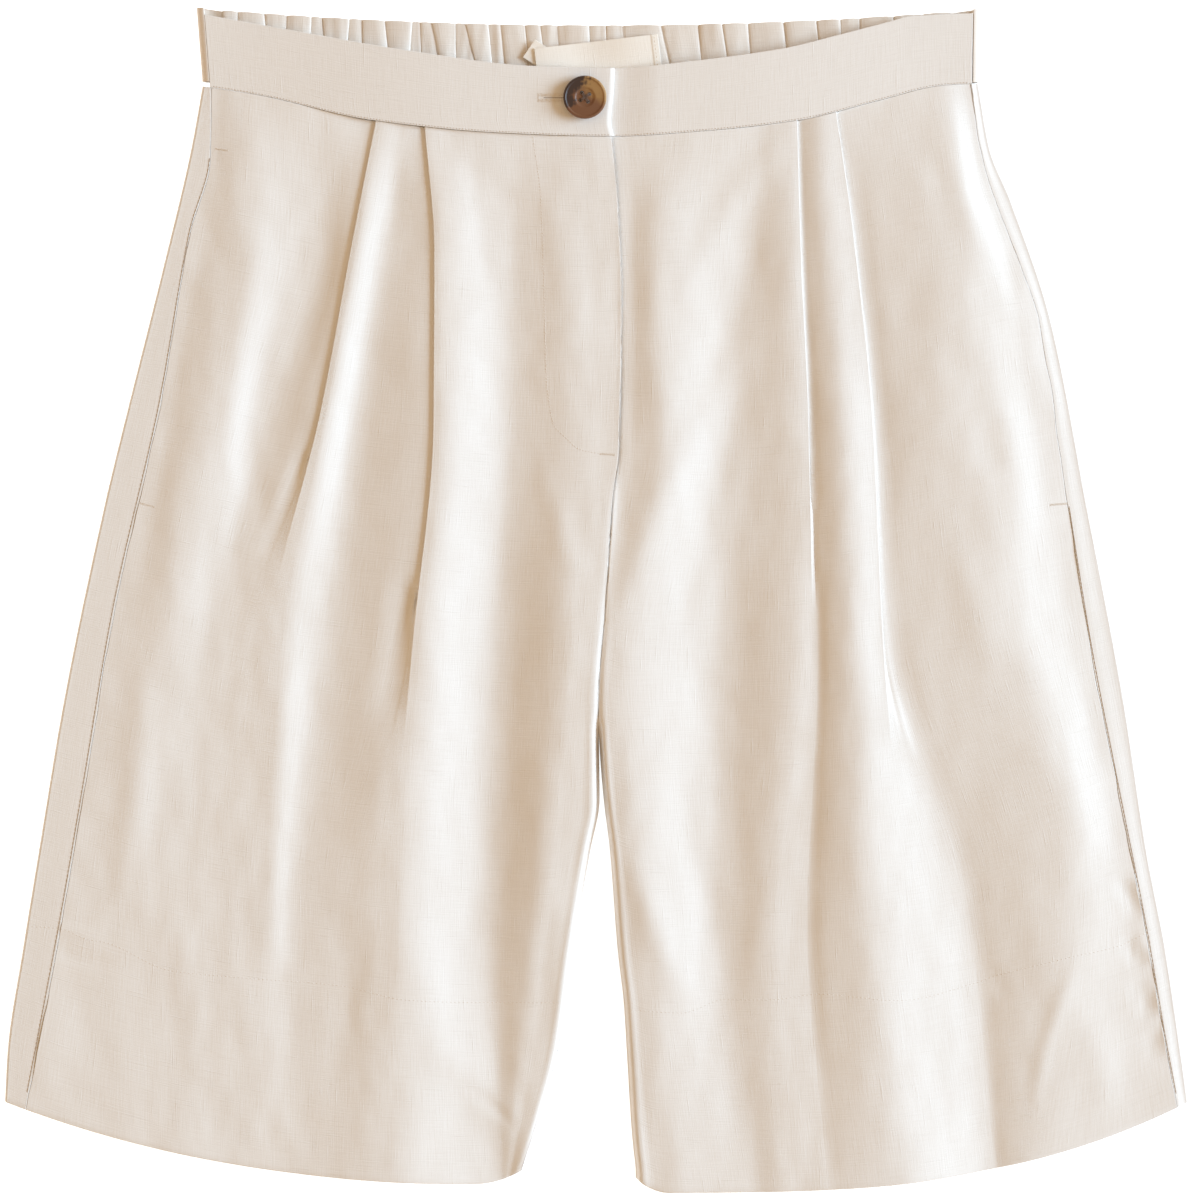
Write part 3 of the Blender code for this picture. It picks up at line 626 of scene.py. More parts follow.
Crease = namedtuple("Crease", "x0 y0 x1 y1 width height bow")
CREASES = {
    "right": (
        Crease(-160, 205, -182, 25, 7, 0.9, -3),
        Crease(-140, 190, -176, 60, 6, -0.5, -2),
        Crease(-196, 120, -216, -40, 8, 0.7, 2),
        Crease(-222, -20, -234, -155, 7, 0.8, 4),
        Crease(-205, -150, -190, -235, 9, 0.6, -4),
        Crease(-150, -60, -165, -200, 12, 0.8, 3),
        Crease(-120, -150, -128, -250, 9, -0.6, 2),
        Crease(-80, -215, -42, -262, 9, 0.8, 3),
        Crease(-62, -238, -40, -257, 2.5, -0.5, 1),
        Crease(-95, -150, -70, -250, 10, 0.7, 2),
        Crease(-30, 205, -8, 120, 8, 0.6, 2),
        Crease(-62, 214, -55, 150, 5, -0.5, 1),
        Crease(-26, 66, -10, 10, 6, 0.5, -1),
        Crease(-244, -163, -272, -156, 3, 0.5, 1),
        Crease(-236, -176, -262, -172, 3, -0.4, 1),
    ),
    "left": (
        Crease(88, 222, 38, 140, 7, 0.7, -3),
        Crease(72, 124, 6, -14, 9, 0.8, -4),
        Crease(84, 190, 44, 70, 7, -0.4, -3),
        Crease(80, 100, 46, -30, 7, 0.5, -3),
        Crease(8, -95, 50, -203, 8, 1.0, -5),
        Crease(36, -70, 66, -190, 8, -0.6, -3),
        Crease(160, 222, 178, 150, 7, -0.6, 2),
        Crease(183, 193, 200, 128, 6, 0.8, 2),
        Crease(205, 169, 217, 87, 5, 0.6, -2),
        Crease(166, 135, 190, 60, 8, -0.8, 3),
        Crease(196, 96, 208, 30, 7, 0.7, 2),
        Crease(170, 30, 196, -60, 9, 0.6, 3),
        Crease(232, -178, 212, -246, 4, 0.7, -3),
        Crease(190, -178, 198, -196, 3, -0.6, 1),
        Crease(240, -206, 246, -250, 8, 0.8, 3),
        Crease(160, -150, 176, -262, 10, 0.7, 4),
        Crease(253, -136, 262, -156, 3.0, -0.9, 1),
        Crease(259, -134, 267, -152, 2.6, 0.7, 1),
        Crease(257, -164, 264, -178, 2.6, -0.8, -1),
        Crease(263, -162, 270, -178, 2.4, 0.8, -1),
        Crease(261, -184, 269, -204, 3.0, -1.0, 1),
        Crease(267, -186, 273, -202, 2.4, 0.8, 1),
        Crease(268, -208, 274, -226, 2.8, -0.8, 1),
        Crease(272, -208, 277, -222, 2.2, 0.6, 1),
    ),
}
linens = []
for name in SIDES:
    leg = leg_of(name)
    points = creased(panel(leg, front_section), CREASES[name], leg.side)
    piece = cloth(f"front_{name}_cloth", points, CLOTH, linen_cloth)
    linens.append(piece)
    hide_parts(f"front_{name}")

# ---------------------------------------------------------------------------------------------
# The backs: one piece for each leg, flat on the surface. At the side it rolls over and comes
# forward on top, as far as the side seam, and at the bottom it turns up inside as the front does.
ROLL_WIDE = 1.0  # the cloth turns round at the sides over this width
STRIP_FALL = {-1: 0.2, 1: 1.1}  # on top a back comes down by this from its seam to its turn
BACK_BAND_TOP = 279.0
BAND_DEPTH = 34.0
BACK_BAND_LOW_RISE = 6.3
BACK_BAND_TOP_RISE = 8.0
BACK_BAND_HALF = 190.0
BACK_FLAT_OUT = 140.0
BACK_FLAT_EASE = 40.0
FLOOR_STEPS = 14
STRIP_STEPS = 4
SIDE_TURN_ANGLES = (30, 60, 90, 120, 150, 180)


def back_band_low(x):
    """The lower edge of the back waistband."""
    return BACK_BAND_TOP - BAND_DEPTH + BACK_BAND_LOW_RISE * (x / BACK_BAND_HALF) ** 2


def back_waist_y(x):
    """The upper edge of the backs, which meets that of the fronts at the sides."""
    at_side = ease((np.abs(x) - BACK_FLAT_OUT) / BACK_FLAT_EASE)
    return mix(back_band_low(x) - GAP, waist_y(x), at_side)


def back_section(leg, v):
    """The middle of the cloth across a back at v: along the floor, round the side and on top."""
    inner, seam, outline = edges(leg, v)
    below_fork = middle_y(leg, v) < FORK
    start = GAP + max(inner[0], 0.0) * below_fork
    roll = (seam[1] - STRIP_FALL[leg.side] - CLOTH / 2) / 2
    turn = outline - CLOTH / 2 - ROLL_WIDE
    before = turn - ROLL_WIDE / 2
    floor = [(out, CLOTH / 2) for out in (*np.linspace(start, before, FLOOR_STEPS), turn)]
    angles = np.radians(SIDE_TURN_ANGLES)
    middle = CLOTH / 2 + roll
    round_side = [(turn + ROLL_WIDE * math.sin(a), middle - roll * math.cos(a)) for a in angles]
    above = (before, round_side[-1][1])
    on_top = span(above, (seam[0] + GAP, seam[1]), STRIP_STEPS)
    return np.concatenate([floor, round_side, [above], on_top])


for name in SIDES:
    leg = leg_of(name)
    points = panel(leg, back_section, back_waist_y)
    piece = cloth(f"back_{name}_cloth", points, CLOTH, linen_cloth)
    linens.append(piece)
    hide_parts(f"back_{name}")

# ---------------------------------------------------------------------------------------------
# The back waistband: linen gathered over elastic, so it puffs between its pinches. It comes
# round the sides and is sewn to the front waistband.
Pinch = namedtuple("Pinch", "top low deep lean")
PINCHES = (
    Pinch(-182.0, -182.0, 0.8, 0.3),
    Pinch(-175.0, -175.0, 0.8, -0.4),
    Pinch(-162.0, -160.0, 0.9, 0.7),
    Pinch(-151.0, -152.0, 0.6, -0.7),
    Pinch(-139.1, -140.4, 0.7, 0.5),
    Pinch(-134.1, -132.2, 1.0, -0.3),
    Pinch(-120.5, -122.5, 0.7, 0.9),
    Pinch(-114.7, -114.2, 1.0, -0.8),
    Pinch(-103.5, -101.1, 0.8, 0.4),
    Pinch(-90.0, -91.9, 0.9, 0.8),
    Pinch(-86.1, -85.6, 0.8, -0.5),
    Pinch(-80.8, -75.9, 1.0, 0.2),
    Pinch(-69.1, -69.1, 0.5, -0.9),
    Pinch(-64.3, -58.4, 0.6, 0.6),
    Pinch(-53.1, -51.2, 0.9, -0.2),
    Pinch(-47.3, -44.9, 1.0, 0.8),
    Pinch(-35.2, -33.2, 0.8, -0.6),
    Pinch(-27.9, -25.0, 0.9, 0.5),
    Pinch(-19.6, -18.0, 0.7, -0.8),
    Pinch(-4.1, -3.0, 1.0, 0.7),
    Pinch(4.1, 5.0, 0.6, 0.3),
    Pinch(12.2, 13.3, 0.7, -0.5),
    Pinch(30.8, 36.1, 0.4, 0.9),
    Pinch(49.1, 51.0, 1.0, -0.9),
    Pinch(60.5, 64.0, 0.2, 0.8),
    Pinch(73.0, 74.7, 0.9, -0.7),
    Pinch(90.5, 92.9, 0.9, 0.6),
    Pinch(106.5, 109.2, 1.0, -0.8),
    Pinch(118.0, 119.0, 0.4, 0.9),
    Pinch(127.3, 127.8, 0.9, -0.4),
    Pinch(144.0, 144.0, 0.7, 0.5),
    Pinch(158.0, 158.0, 0.8, -0.5),
    Pinch(172.0, 172.0, 0.8, 0.3),
)
# A puff rises to its left or right side with the lean of the pinch at its right end
PINCH_LOW = 0.35  # the share of its depth at which the low place of a pinch is
PINCH_FLOOR = 0.7  # the lowest a shallow pinch goes, as a share of the puff beside it
PINCH_DIP = 0.6  # the upper edge dips by this at a pinch
PUFF = 1.3
PUFF_WIDTH = 12.0
PUFF_ROUND = 0.4
PUFF_UNEVEN = 0.35
PUFF_LEAN = 0.8
RIPPLE = 0.35
RIPPLE_WIDTH = 3.1
BAND = 1.7
BAND_ENDS = {"right": (192.0, 194.8), "left": (185.8, 186.2)}
BAND_UP = 6.5
BAND_ROLL = (BAND_UP - BAND / 2) / 2
BAND_TURN_UP = (BAND_UP + BAND / 2) / 2
PUFF_SHARES = np.array([0, 0.04, 0.09, 0.16, 0.25, 0.37, 0.5, 0.63, 0.75, 0.84, 0.91, 0.96])
BACK_BAND_ROWS = 40


def band_end(name, share):
    """How far out the turn of the waistband is centred, from its lower edge to its upper one."""
    return mix(*BAND_ENDS[name], share) - BAND / 2 - BAND_ROLL


def gathered(share):
    """The gathers along the back waistband at a share of its depth: each point (x, up, bulge)."""
    at = np.clip((share - PINCH_LOW) / (1 - PINCH_LOW), 0, 1)
    places = [mix(pinch.low, pinch.top, at) for pinch in PINCHES]
    line = []
    for i, (a, b) in enumerate(zip(PINCHES, PINCHES[1:])):
        part = PUFF_SHARES
        x = mix(places[i], places[i + 1], part)
        bulge = np.sin(math.pi * part) ** PUFF_ROUND
        lopsided = 1 + PUFF_UNEVEN * noise.noise((i * 1.7, share * 1.6, 3.0))
        height = PUFF * min(1.0, (b.top - a.top) / PUFF_WIDTH) * lopsided
        floor = mix(1 - a.deep, 1 - b.deep, ease(part)) * PINCH_FLOOR * height
        ripple = [RIPPLE * noise.noise((place / RIPPLE_WIDTH, share * 2.2, 8.0)) for place in x]
        slope = PUFF_LEAN * b.lean * (part - 0.5) * height
        up = BAND / 2 + bulge * (height + np.array(ripple) + slope) + (1 - bulge) * floor
        line.append(np.stack([x, up, bulge], axis=1))
    return np.concatenate(line)


angles = np.radians(range(180, 0, -15))
grid = []
for share in np.linspace(0, 1, BACK_BAND_ROWS):
    line = []
    for angle in angles:
        out = band_end("right", share) + BAND_ROLL * math.sin(angle)
        line.append((-out, BAND_TURN_UP - BAND_ROLL * math.cos(angle), 1))
    line.append((-band_end("right", share), BAND / 2, 1))
    line += gathered(share).tolist()
    line += [(PINCHES[-1].top, BAND / 2, 0), (band_end("left", share), BAND / 2, 1)]
    for angle in reversed(angles):
        out = band_end("left", share) + BAND_ROLL * math.sin(angle)
        line.append((out, BAND_TURN_UP - BAND_ROLL * math.cos(angle), 1))
    x, up, bulge = np.array(line).T
    low = back_band_low(x)
    high = BACK_BAND_TOP + BACK_BAND_TOP_RISE * (x / BACK_BAND_HALF) ** 2
    high -= PINCH_DIP * (1 - bulge)
    grid.append(np.stack([x, mix(low, high, share), up], axis=1))
# A darker, warmer copy of the linen for the back waistband: painted shade over its gathers.
linen_painted_shade = linen("linen in painted shade", (0.86, 0.80, 0.74), (0.78, 0.70, 0.62))
piece = cloth("waistband_back_cloth", np.array(grid), BAND, linen_painted_shade)
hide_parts("waistband_back")

# ---------------------------------------------------------------------------------------------
# The front waistband: two halves, stiffened and flat, each folded over at its upper edge and
# sewn down along all its edges. The right half laps over the left one and holds the buttonhole.
BAND_TOP = (
    Point(-196.0, 284.7),
    Point(-134.6, 273.5),
    Point(-93.8, 266.3),
    Point(-32.0, 258.5),
    Point(7.0, 257.5),
    Point(49.7, 261.4),
    Point(90.5, 267.2),
    Point(118.0, 274.0),
    Point(140.9, 280.0),
    Point(152.0, 282.8),
    Point(190.0, 284.7),
)
BAND_MIDDLE_UP = {"right": 10.2, "left": 9.0}
BAND_UNDER_UP = 7.4
BAND_FLAT_OUT = 190.0
BAND_RISE_WIDTH = 120.0
BAND_EDGE = (Point(7.5, 224.0), Point(5.9, 231.0), Point(7.3, 247.0), Point(7.8, 261.0))
BAND_EDGE_X = 7.5
BAND_EDGE_TOP = 257.5
OVERLAP = 23.0
UNDER_ENDS = 8.0
UNDER_RISE = 22.0
BAND_ROWS = 24
BAND_COLUMNS = 160
EDGE_WIDE = 2.0  # the end of the upper half comes down softly over this width
EDGE_DROP = 0.9
EDGE_COLUMNS = 10


def band_up(name, out):
    """The height of the front waistband, which rises from its ends to the middle."""
    return mix(BAND_UP, BAND_MIDDLE_UP[name], ease((BAND_FLAT_OUT - out) / BAND_RISE_WIDTH))


for name, side in SIDES.items():
    middle = 0.0 if name == "right" else OVERLAP
    grid = []
    for share in np.linspace(0, 1, BAND_ROWS):
        end = band_end(name, share) - 2 * GAP
        start = BAND_EDGE_X - middle
        if name == "right":
            edge_y = mix(waist_y(0.0), BAND_EDGE_TOP, share)
            start = -glide(edge_y, column(BAND_EDGE, "y"), column(BAND_EDGE, "x"))
        close = np.linspace(start, start + EDGE_WIDE, EDGE_COLUMNS)[:-1]
        out = np.concatenate([close, np.linspace(start + EDGE_WIDE, end, BAND_COLUMNS)])
        x = side * out
        bottom = waist_y(x) + GAP
        top = glide(x, column(BAND_TOP, "x"), column(BAND_TOP, "y"))
        up = band_up(name, out)
        if name == "left":
            up = mix(BAND_UNDER_UP, up, ease((out - UNDER_ENDS) / UNDER_RISE))
        else:
            up -= EDGE_DROP * np.clip(1 - (out - start) / EDGE_WIDE, 0, 1) ** 2
        grid.append(np.stack([x, mix(bottom, top, share), up], axis=1))
    piece = cloth(f"waistband_front_{name}_cloth", np.array(grid), BAND, linen_cloth)
    linens.append(piece)
    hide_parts(f"waistband_front_{name}")

# ---------------------------------------------------------------------------------------------
# Inside: the strip under the fly, and the pocket bags that hang from the side seams between the
# front and the back.
SHIELD_WIDTH = 28.0
SHIELD_IN = 1.0
SHIELD_ROWS = 60
SHIELD_COLUMNS = 24
POCKET_TOP = 214.0
POCKET_BOTTOM = -10.0
POCKET_REACH = 130.0
POCKET_UP = 1.8
POCKET_CORNER = 60.0
POCKET_LEAN = 20.0
POCKET_IN = 1.0
POCKET_SEAM_FROM = 0.8
POCKET_SEAM_RISE = 3.6
POCKET_ROWS = 60
POCKET_COLUMNS = 40

leg = leg_of("right")
length = leg.inner[0].y - leg.hem.low
grid = []
for v in np.linspace(0, (leg.inner[0].y - FLY_END) / length, SHIELD_ROWS):
    inner = edges(leg, v)[0][0]
    out = np.linspace(inner + SHIELD_IN, inner + SHIELD_WIDTH, SHIELD_COLUMNS)
    line = front_section(leg, v)[::-1]
    up = np.interp(out, line[:, 0], line[:, 1]) - LAYER
    grid.append(np.stack([-out, down_the_leg(leg, out, v), up], axis=1))
piece = cloth("fly_shield_cloth", np.array(grid), CLOTH, linen_cloth)
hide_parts("fly_shield")

for name, side in SIDES.items():
    seam = SIDE_SEAMS[name]
    across = np.linspace(0, 1, POCKET_COLUMNS)
    at_seam = ease((across - POCKET_SEAM_FROM) / (1 - POCKET_SEAM_FROM))
    grid = []
    for share in np.linspace(0, 1, POCKET_ROWS):
        y = mix(POCKET_TOP, POCKET_BOTTOM, share)
        corner = POCKET_CORNER * (1 - math.sqrt(1 - share**6))
        outer = glide(y, column(seam, "y"), column(seam, "out")) - POCKET_IN
        inner = POCKET_REACH + corner + POCKET_LEAN * share
        x = side * mix(inner, outer, across)
        up = POCKET_UP + POCKET_SEAM_RISE * at_seam
        grid.append(np.stack([x, np.full_like(x, y), up], axis=1))
    piece = cloth(f"pocket_{name}_cloth", np.array(grid), CLOTH, linen_cloth)
    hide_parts(f"pocket_{name}")

# ---------------------------------------------------------------------------------------------
# The label: a bare cream strip, sewn flat inside the back waistband at its right end, where its
# selvedge shows. At its left end a corner of its under layer sticks out.
LABEL_SIZE = (60.5, 22.0)
LABEL_MIDDLE = Vector((0.5, 260.0))
LABEL_TILT = math.radians(6.7)
LABEL_UP = 4.9
LABEL_CLOTH = 0.4
LABEL_GRID = (160, 40)
LABEL_WAVE = 0.5
SELVEDGE = 3.6  # width of the strip at its right end
SELVEDGE_RISE = 0.25
CORNER_SIZE = (10.5, 13.0)
CORNER_MIDDLE = (-28.0, 264.0)
CORNER_TILT = math.radians(56)
CORNER_DROP = 0.8  # it lies this far below the label
CORNER_GRID = (12, 12)


def flat_piece(place, tilt, size, steps, up):
    """A tilted grid of points on the shorts; up gives their height from the shares across and down."""
    across, down = np.meshgrid(np.linspace(-0.5, 0.5, steps[0]), np.linspace(-0.5, 0.5, steps[1]))
    a, b = across * size[0], down * size[1]
    x = place[0] + a * math.cos(tilt) - b * math.sin(tilt)
    y = place[1] + a * math.sin(tilt) + b * math.cos(tilt)
    return np.stack([x, y, up(across + 0.5, down + 0.5)], axis=2)


def label_up(across, down):
    """The height of the label, which waves a little and rises to its selvedge."""
    wave = np.sin(across * 9 + 1) * (0.4 + 0.6 * down)
    selvedge = ease((across - 1 + SELVEDGE / LABEL_SIZE[0]) * 90)
    return LABEL_UP + LABEL_WAVE * wave + SELVEDGE_RISE * selvedge


def corner_up(across, down):
    """The height of the corner that sticks out from under the label."""
    return LABEL_UP - CORNER_DROP + 0.3 * across + 0.2 * down


label_linen = linen("label linen", (0.96, 0.91, 0.84), (0.93, 0.87, 0.79))
points = flat_piece(LABEL_MIDDLE, LABEL_TILT, LABEL_SIZE, LABEL_GRID, label_up)
label = cloth("label_cloth", points, LABEL_CLOTH, label_linen)
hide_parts("label")
points = flat_piece(CORNER_MIDDLE, CORNER_TILT, CORNER_SIZE, CORNER_GRID, corner_up)
piece = cloth("label_corner", points, LABEL_CLOTH, label_linen)

# ---------------------------------------------------------------------------------------------
# The button: dark horn with amber and nearly black patches, worn smooth, over a sewn shank. Its
# own solid is kept.
BUTTON_MIDDLE = Vector((-6.1, 243.0, 0.0))
BUTTON_TURN = math.radians(-11.0)
BUTTON_UNDER = 12.6
BUTTON_DISH_UP = 14.9
HOLE_OUT = 2.6
STRANDS = (-0.45, 0.0, 0.45)  # places of the strands beside each other
STRAND = (2.9, 0.5, 0.5)
STRAND_UP = 0.25
SHANK_STRAND = (3.6, 0.5, 0.5)
SHANK_DROP = 0.3

horn, shader, mixed = finish("horn", Roughness=0.42, Specular_IOR_Level=0.4)
place = mixed.node("ShaderNodeTexCoord", out=3)
east = mixed.node("ShaderNodeSeparateXYZ", (), {0: place}, out=0) * (1 / MM) - BUTTON_MIDDLE.x
north = mixed.node("ShaderNodeSeparateXYZ", (), {0: place}, out=1) * (1 / MM) - BUTTON_MIDDLE.y
cloud = mixed.grain(place, (7 * MM, 5 * MM, 6 * MM), 3.0, 0.6)
streak = mixed.grain(place, (1.2 * MM, 8 * MM, 8 * MM), 3.0)
dark = (east * -0.06 + north * 0.045 + cloud * 1.3 + streak * 0.45).shares(1.05, 1.3)
golden = (east * 0.05 + north * 0.07 + cloud * 1.0 + streak * 0.3).shares(0.6, 1.15)
colour = mixed.between(golden, (0.19, 0.085, 0.042), (0.36, 0.20, 0.075))
# Painted highlight: the rim turns lighter and golden towards the right, where the light comes from.
rim = (east * 0.9 + north * 0.3).shares(7.6, 9.2)
colour = mixed.between(rim * 0.7, colour, (0.45, 0.28, 0.13))
given(shader, Base_Color=mixed.between(dark, colour, (0.055, 0.032, 0.026)))
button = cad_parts["button"]
button.data.materials.clear()
button.data.materials.append(horn)

sewn, shader, mixed = finish("sewing thread", Roughness=0.7, Sheen_Weight=0.2)
place = mixed.node("ShaderNodeTexCoord", out=3)
ply = mixed.grain(place, (0.25 * MM, 0.25 * MM, 1 * MM))
given(shader, Base_Color=mixed.between(ply, (0.10, 0.055, 0.035), (0.17, 0.095, 0.06)))


def stitch(shape, place, along, facing, size):
    """Adds one stitch to a bmesh: a slim bead this long, wide and thick, pointing along a line."""
    side = facing.cross(along).normalized()
    turned = Matrix((along.normalized(), side, facing)).transposed().to_4x4()
    sized = Matrix.Diagonal((*[part / 2 * MM for part in size], 1))
    where = Matrix.Translation(place * MM) @ turned @ sized
    bmesh.ops.create_uvsphere(shape, u_segments=6, v_segments=4, radius=1, matrix=where)


def sewing(name, shape, finish):
    """Makes an object of all the stitches in a bmesh."""
    mesh = bpy.data.meshes.new(name)
    shape.to_mesh(mesh)
    shape.free()
    mesh.materials.append(finish)
    mesh.shade_smooth()
    made = bpy.data.objects.new(name, mesh)
    bpy.context.scene.collection.objects.link(made)
    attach(made, "root")
    return made


shape = bmesh.new()
up = Vector((0, 0, 1))
for quarter in range(4):
    angle = BUTTON_TURN + math.radians(45 + 90 * quarter)
    hole = BUTTON_MIDDLE + HOLE_OUT * Vector((math.cos(angle), math.sin(angle), 0))
    for strand in STRANDS:
        aside = Vector((-math.sin(angle), math.cos(angle), 0)) * strand
        middle = (BUTTON_MIDDLE + hole) / 2 + aside + up * (BUTTON_DISH_UP + STRAND_UP)
        stitch(shape, middle, hole - BUTTON_MIDDLE, up, STRAND)
        inside = hole + aside + up * ((BUTTON_UNDER + BUTTON_DISH_UP) / 2 - SHANK_DROP)
        stitch(shape, inside, up, Vector((1, 0, 0)), SHANK_STRAND)
piece = sewing("button_thread_strands", shape, sewn)
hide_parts("button_thread")

# ---------------------------------------------------------------------------------------------
# The sewing: rows of small stitches along the waist seam, the fly and the hems, bar tacks at the
# pockets and the fly, the buttonhole and the label's end. Each stitch lies on the cloth below it.

# Length, width and thickness of the stitches, and how far apart they are
WAIST_STITCH = (1.0, 0.42, 0.3)
WAIST_STITCH_UP = 0.75  # above the waist seam
FLY_STITCH = (1.1, 0.3, 0.25)
HEM_STITCH = (1.2, 0.3, 0.25)
SEAM_STITCH = (2.8, 0.62, 0.4)
SEAM_PITCH = 2.3
SEAM_SIDE = 0.1  # they lie this far past the gap at the side seam
TACK_STITCH = (1.3, 0.35, 0.3)
STITCH_PITCH = 1.5
HEM_PITCH = 2.0
TACK_PITCH = 0.5


def sewing_finish(name, light, dark):
    """Twisted thread of one colour; also the dark beads that paint the shade in the buttonhole's slit.
    """
    made, shader, mixed = finish(name, Roughness=0.75, Sheen_Weight=0.2)
    place = mixed.node("ShaderNodeTexCoord", out=3)
    ply = mixed.grain(place, (0.3 * MM, 0.3 * MM, 1 * MM))
    given(shader, Base_Color=mixed.between(ply, dark, light))
    return made


def along(points, pitch):
    """Places and directions every so far along the smooth line through the points."""
    points = np.array(points, float)
    step = np.linalg.norm(np.diff(points, axis=0), axis=1)
    way = np.concatenate([[0], np.cumsum(step)])
    at = np.arange(pitch / 2, way[-1], pitch)
    x = glide(at, way, points[:, 0])
    y = glide(at, way, points[:, 1])
    ahead = np.gradient(np.stack([x, y], axis=1), axis=0) if len(at) > 1 else np.diff(points, axis=0)
    return zip(x, y, ahead)


def sewn_on(name, runs, size, pitch, finish, trees, across=False):
    """Rows of stitches on the highest cloth below them, along the runs or across them."""
    shape = bmesh.new()
    for run in runs:
        for x, y, ahead in along(run, pitch):
            origin = Vector((x, y, 100)) * MM
            hits = [tree.ray_cast(origin, Vector((0, 0, -1))) for tree in trees]
            hits = [hit for hit in hits if hit[0]]
            if hits:
                place, facing, _, _ = max(hits, key=lambda hit: hit[0].z)
                way = Vector((*ahead, 0)).normalized()
                if across:
                    way = facing.cross(way)
                way = (way - facing * way.dot(facing)).normalized()
                stitch(shape, place / MM, way, facing, size)
    return sewing(name, shape, finish)


graph = bpy.context.evaluated_depsgraph_get()
below = [BVHTree.FromObject(linen_piece, graph) for linen_piece in linens]
on_label = [BVHTree.FromObject(label, graph)]
waist_thread_and_shade = sewing_finish("beige thread and painted hole shade", (0.62, 0.52, 0.43), (0.45, 0.36, 0.29))
seam_thread_and_shade = sewing_finish("brown thread and painted seam shade", (0.56, 0.45, 0.36), (0.40, 0.31, 0.24))
pale = sewing_finish("pale thread", (0.84, 0.77, 0.70), (0.72, 0.64, 0.56))
cream = sewing_finish("cream thread", (0.85, 0.78, 0.66), (0.74, 0.62, 0.47))

# The waist stitches are thread coloured darker tan, partly painted shade for their needle holes and the
# seam below the band.
seam_x = np.linspace(-187, 6.6, 60), np.linspace(8.6, 180, 60)
runs = [np.stack([x, waist_y(x) + WAIST_STITCH_UP], axis=1) for x in seam_x]
sewn_on("waist_stitches", runs, WAIST_STITCH, STITCH_PITCH, waist_thread_and_shade, below)

FLY_LINE = (
    (-31.3, 224.5), (-27.4, 193.5), (-26.0, 152.8), (-25.0, 111.6),
    (-21.6, 85.8), (-14.8, 77.6), (-8.0, 72.3), (8.5, 69.4),
)  # fmt: skip
sewn_on("fly_stitches", [FLY_LINE], FLY_STITCH, STITCH_PITCH, pale, below)

HEM_LINES = (
    ((-275, -159), (-261, -160), (-248, -165), (-238, -167), (-206.9, -180.4), (-172.9, -183.8),
     (-125, -187.7), (-92.4, -194.5), (-60, -196), (-30, -196), (18, -196)),
    ((14, -199), (41, -200.8), (61.8, -194.5), (82.2, -194.5), (108.4, -191.6), (146.2, -194.5),
     (184.5, -186.2), (192.3, -183.3), (234, -172.7), (252, -168.8), (270, -160)),
)  # fmt: skip
sewn_on("hem_stitches", HEM_LINES, HEM_STITCH, HEM_PITCH, pale, below)

# The side seams' stitches are thread seen in the gap, dark brown and long enough to meet: partly
# painted shade, drawing the shade in the gap as a line.
SEAM_ENDS = {"right": (214.0, -240.0), "left": (45.0, -241.0)}
runs = []
for name, side in SIDES.items():
    y = np.linspace(*SEAM_ENDS[name], 80)
    down = [-row.y for row in SIDE_SEAMS[name]]
    out = glide(-y, down, column(SIDE_SEAMS[name], "out"))
    runs.append(np.stack([side * (out + GAP + SEAM_SIDE), y], axis=1))
sewn_on("side_seams", runs, SEAM_STITCH, SEAM_PITCH, seam_thread_and_shade, below)

TACKS = (
    ((-185.5, 218.7), (-179.2, 217.8)),
    ((-221.9, 46.6), (-214.6, 44.6)),
    ((219.5, 45.6), (228.0, 46.3)),
    ((192.0, 219.5), (197.0, 217.0)),
    ((1.2, 70.4), (8.6, 70.0)),
)
sewn_on("bar_tacks", TACKS, TACK_STITCH, TACK_PITCH, pale, below, across=True)

HOLE_FROM, HOLE_TO, HOLE_Y = -28.6, -15.0, 243.0
HOLE_SIDE = 1.35  # the rows beside the slit are this far from it
HOLE_BAR = 2.1  # half of the bar at its end
HOLE_PITCH = 0.62
SIDE_STITCH = (1.9, 0.45, 0.4)
BAR_STITCH = (1.4, 0.45, 0.4)
SLIT_SHADOW_BEAD = (1.2, 0.4, 0.2)
SLIT_PITCH = 0.9
SLIT_FROM = HOLE_FROM + 2.5
sides = [((HOLE_FROM, HOLE_Y + d), (HOLE_TO, HOLE_Y + d)) for d in (-HOLE_SIDE, HOLE_SIDE)]
sewn_on("buttonhole_sides", sides, SIDE_STITCH, HOLE_PITCH, pale, below, across=True)
end = [((HOLE_FROM, HOLE_Y - HOLE_BAR), (HOLE_FROM, HOLE_Y + HOLE_BAR))]
sewn_on("buttonhole_end", end, BAR_STITCH, HOLE_PITCH, pale, below, across=True)
# Painted shadow: a row of dark beads along the slit stands for the shade inside the cut.
slit = [((SLIT_FROM, HOLE_Y), (HOLE_TO, HOLE_Y))]
slit_painted_shadow = sewing_finish("slit", (0.30, 0.22, 0.17), (0.16, 0.10, 0.07))
sewn_on("buttonhole_slit_painted_shadow", slit, SLIT_SHADOW_BEAD, SLIT_PITCH, slit_painted_shadow, below)

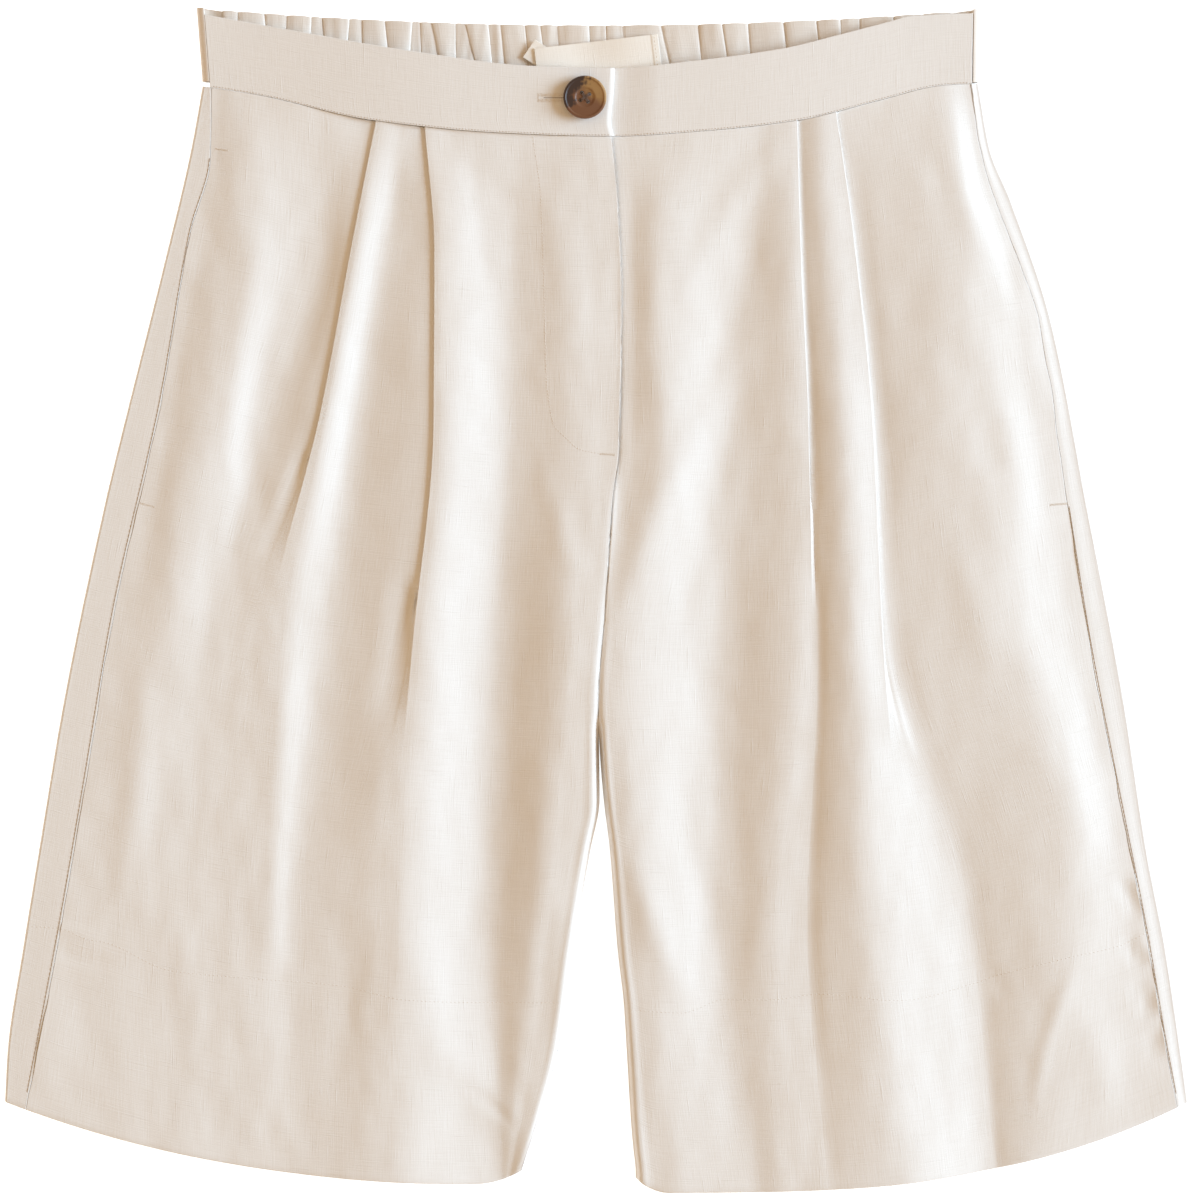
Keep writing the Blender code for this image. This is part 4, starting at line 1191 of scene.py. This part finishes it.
right_end = LABEL_SIZE[0] / 2 - SELVEDGE / 2
corners = []
for down in (-0.3, 0.45):
    reach = Vector((right_end, down * LABEL_SIZE[1]))
    corners.append(LABEL_MIDDLE + Matrix.Rotation(LABEL_TILT, 2) @ reach)
sewn_on("label_stitches", [corners], (1.1, 0.35, 0.3), 1.9, cream, on_label)

# ---------------------------------------------------------------------------------------------
# A pale floor under soft light from the right, and a camera straight above with a long lens.
FLOOR_SIZE = 30
FRAME_HEIGHT = 0.582
FRAME_MIDDLE = (0.00024, -0.0005)
CAMERA_UP = 3.0  # above the fronts
FRONTS_UP = 0.01
bpy.ops.mesh.primitive_plane_add(size=FLOOR_SIZE)
floor = bpy.context.object
floor.name = "floor"
paper, _, _ = finish(
    "paper",
    Base_Color=(0.86, 0.88, 0.9, 1),
    Roughness=0.9,
    Emission_Color=(0.92, 0.97, 1.0, 1),
    Emission_Strength=0.95,
)
floor.data.materials.append(paper)

world = bpy.data.worlds.new("studio")
bpy.context.scene.world = world
world.use_nodes = True
world.node_tree.nodes["Background"].inputs["Color"].default_value = (0.588, 0.421, 0.258, 1)
world.node_tree.nodes["Background"].inputs["Strength"].default_value = 1.0
bpy.context.scene.view_settings.view_transform = "Standard"


def lamp(name, place, size, watts, colour):
    """A square soft light at a place, turned to the middle of the shorts."""
    data = bpy.data.lights.new(name, "AREA")
    data.size = size
    data.energy = watts
    data.color = colour
    made = bpy.data.objects.new(name, data)
    made.location = place
    made.rotation_euler = (-Vector(place)).to_track_quat("-Z", "Y").to_euler()
    bpy.context.scene.collection.objects.link(made)


lamp("window", (5.6, 0.85, 2.5), 3.5, 570, (0.565, 0.787, 1.0))

lens = bpy.data.cameras.new("camera")
lens.sensor_fit = "VERTICAL"
lens.sensor_height = 24.0
lens.lens = lens.sensor_height * CAMERA_UP / FRAME_HEIGHT
camera = bpy.data.objects.new("camera", lens)
camera.location = (*FRAME_MIDDLE, CAMERA_UP + FRONTS_UP)
bpy.context.scene.collection.objects.link(camera)
bpy.context.scene.camera = camera
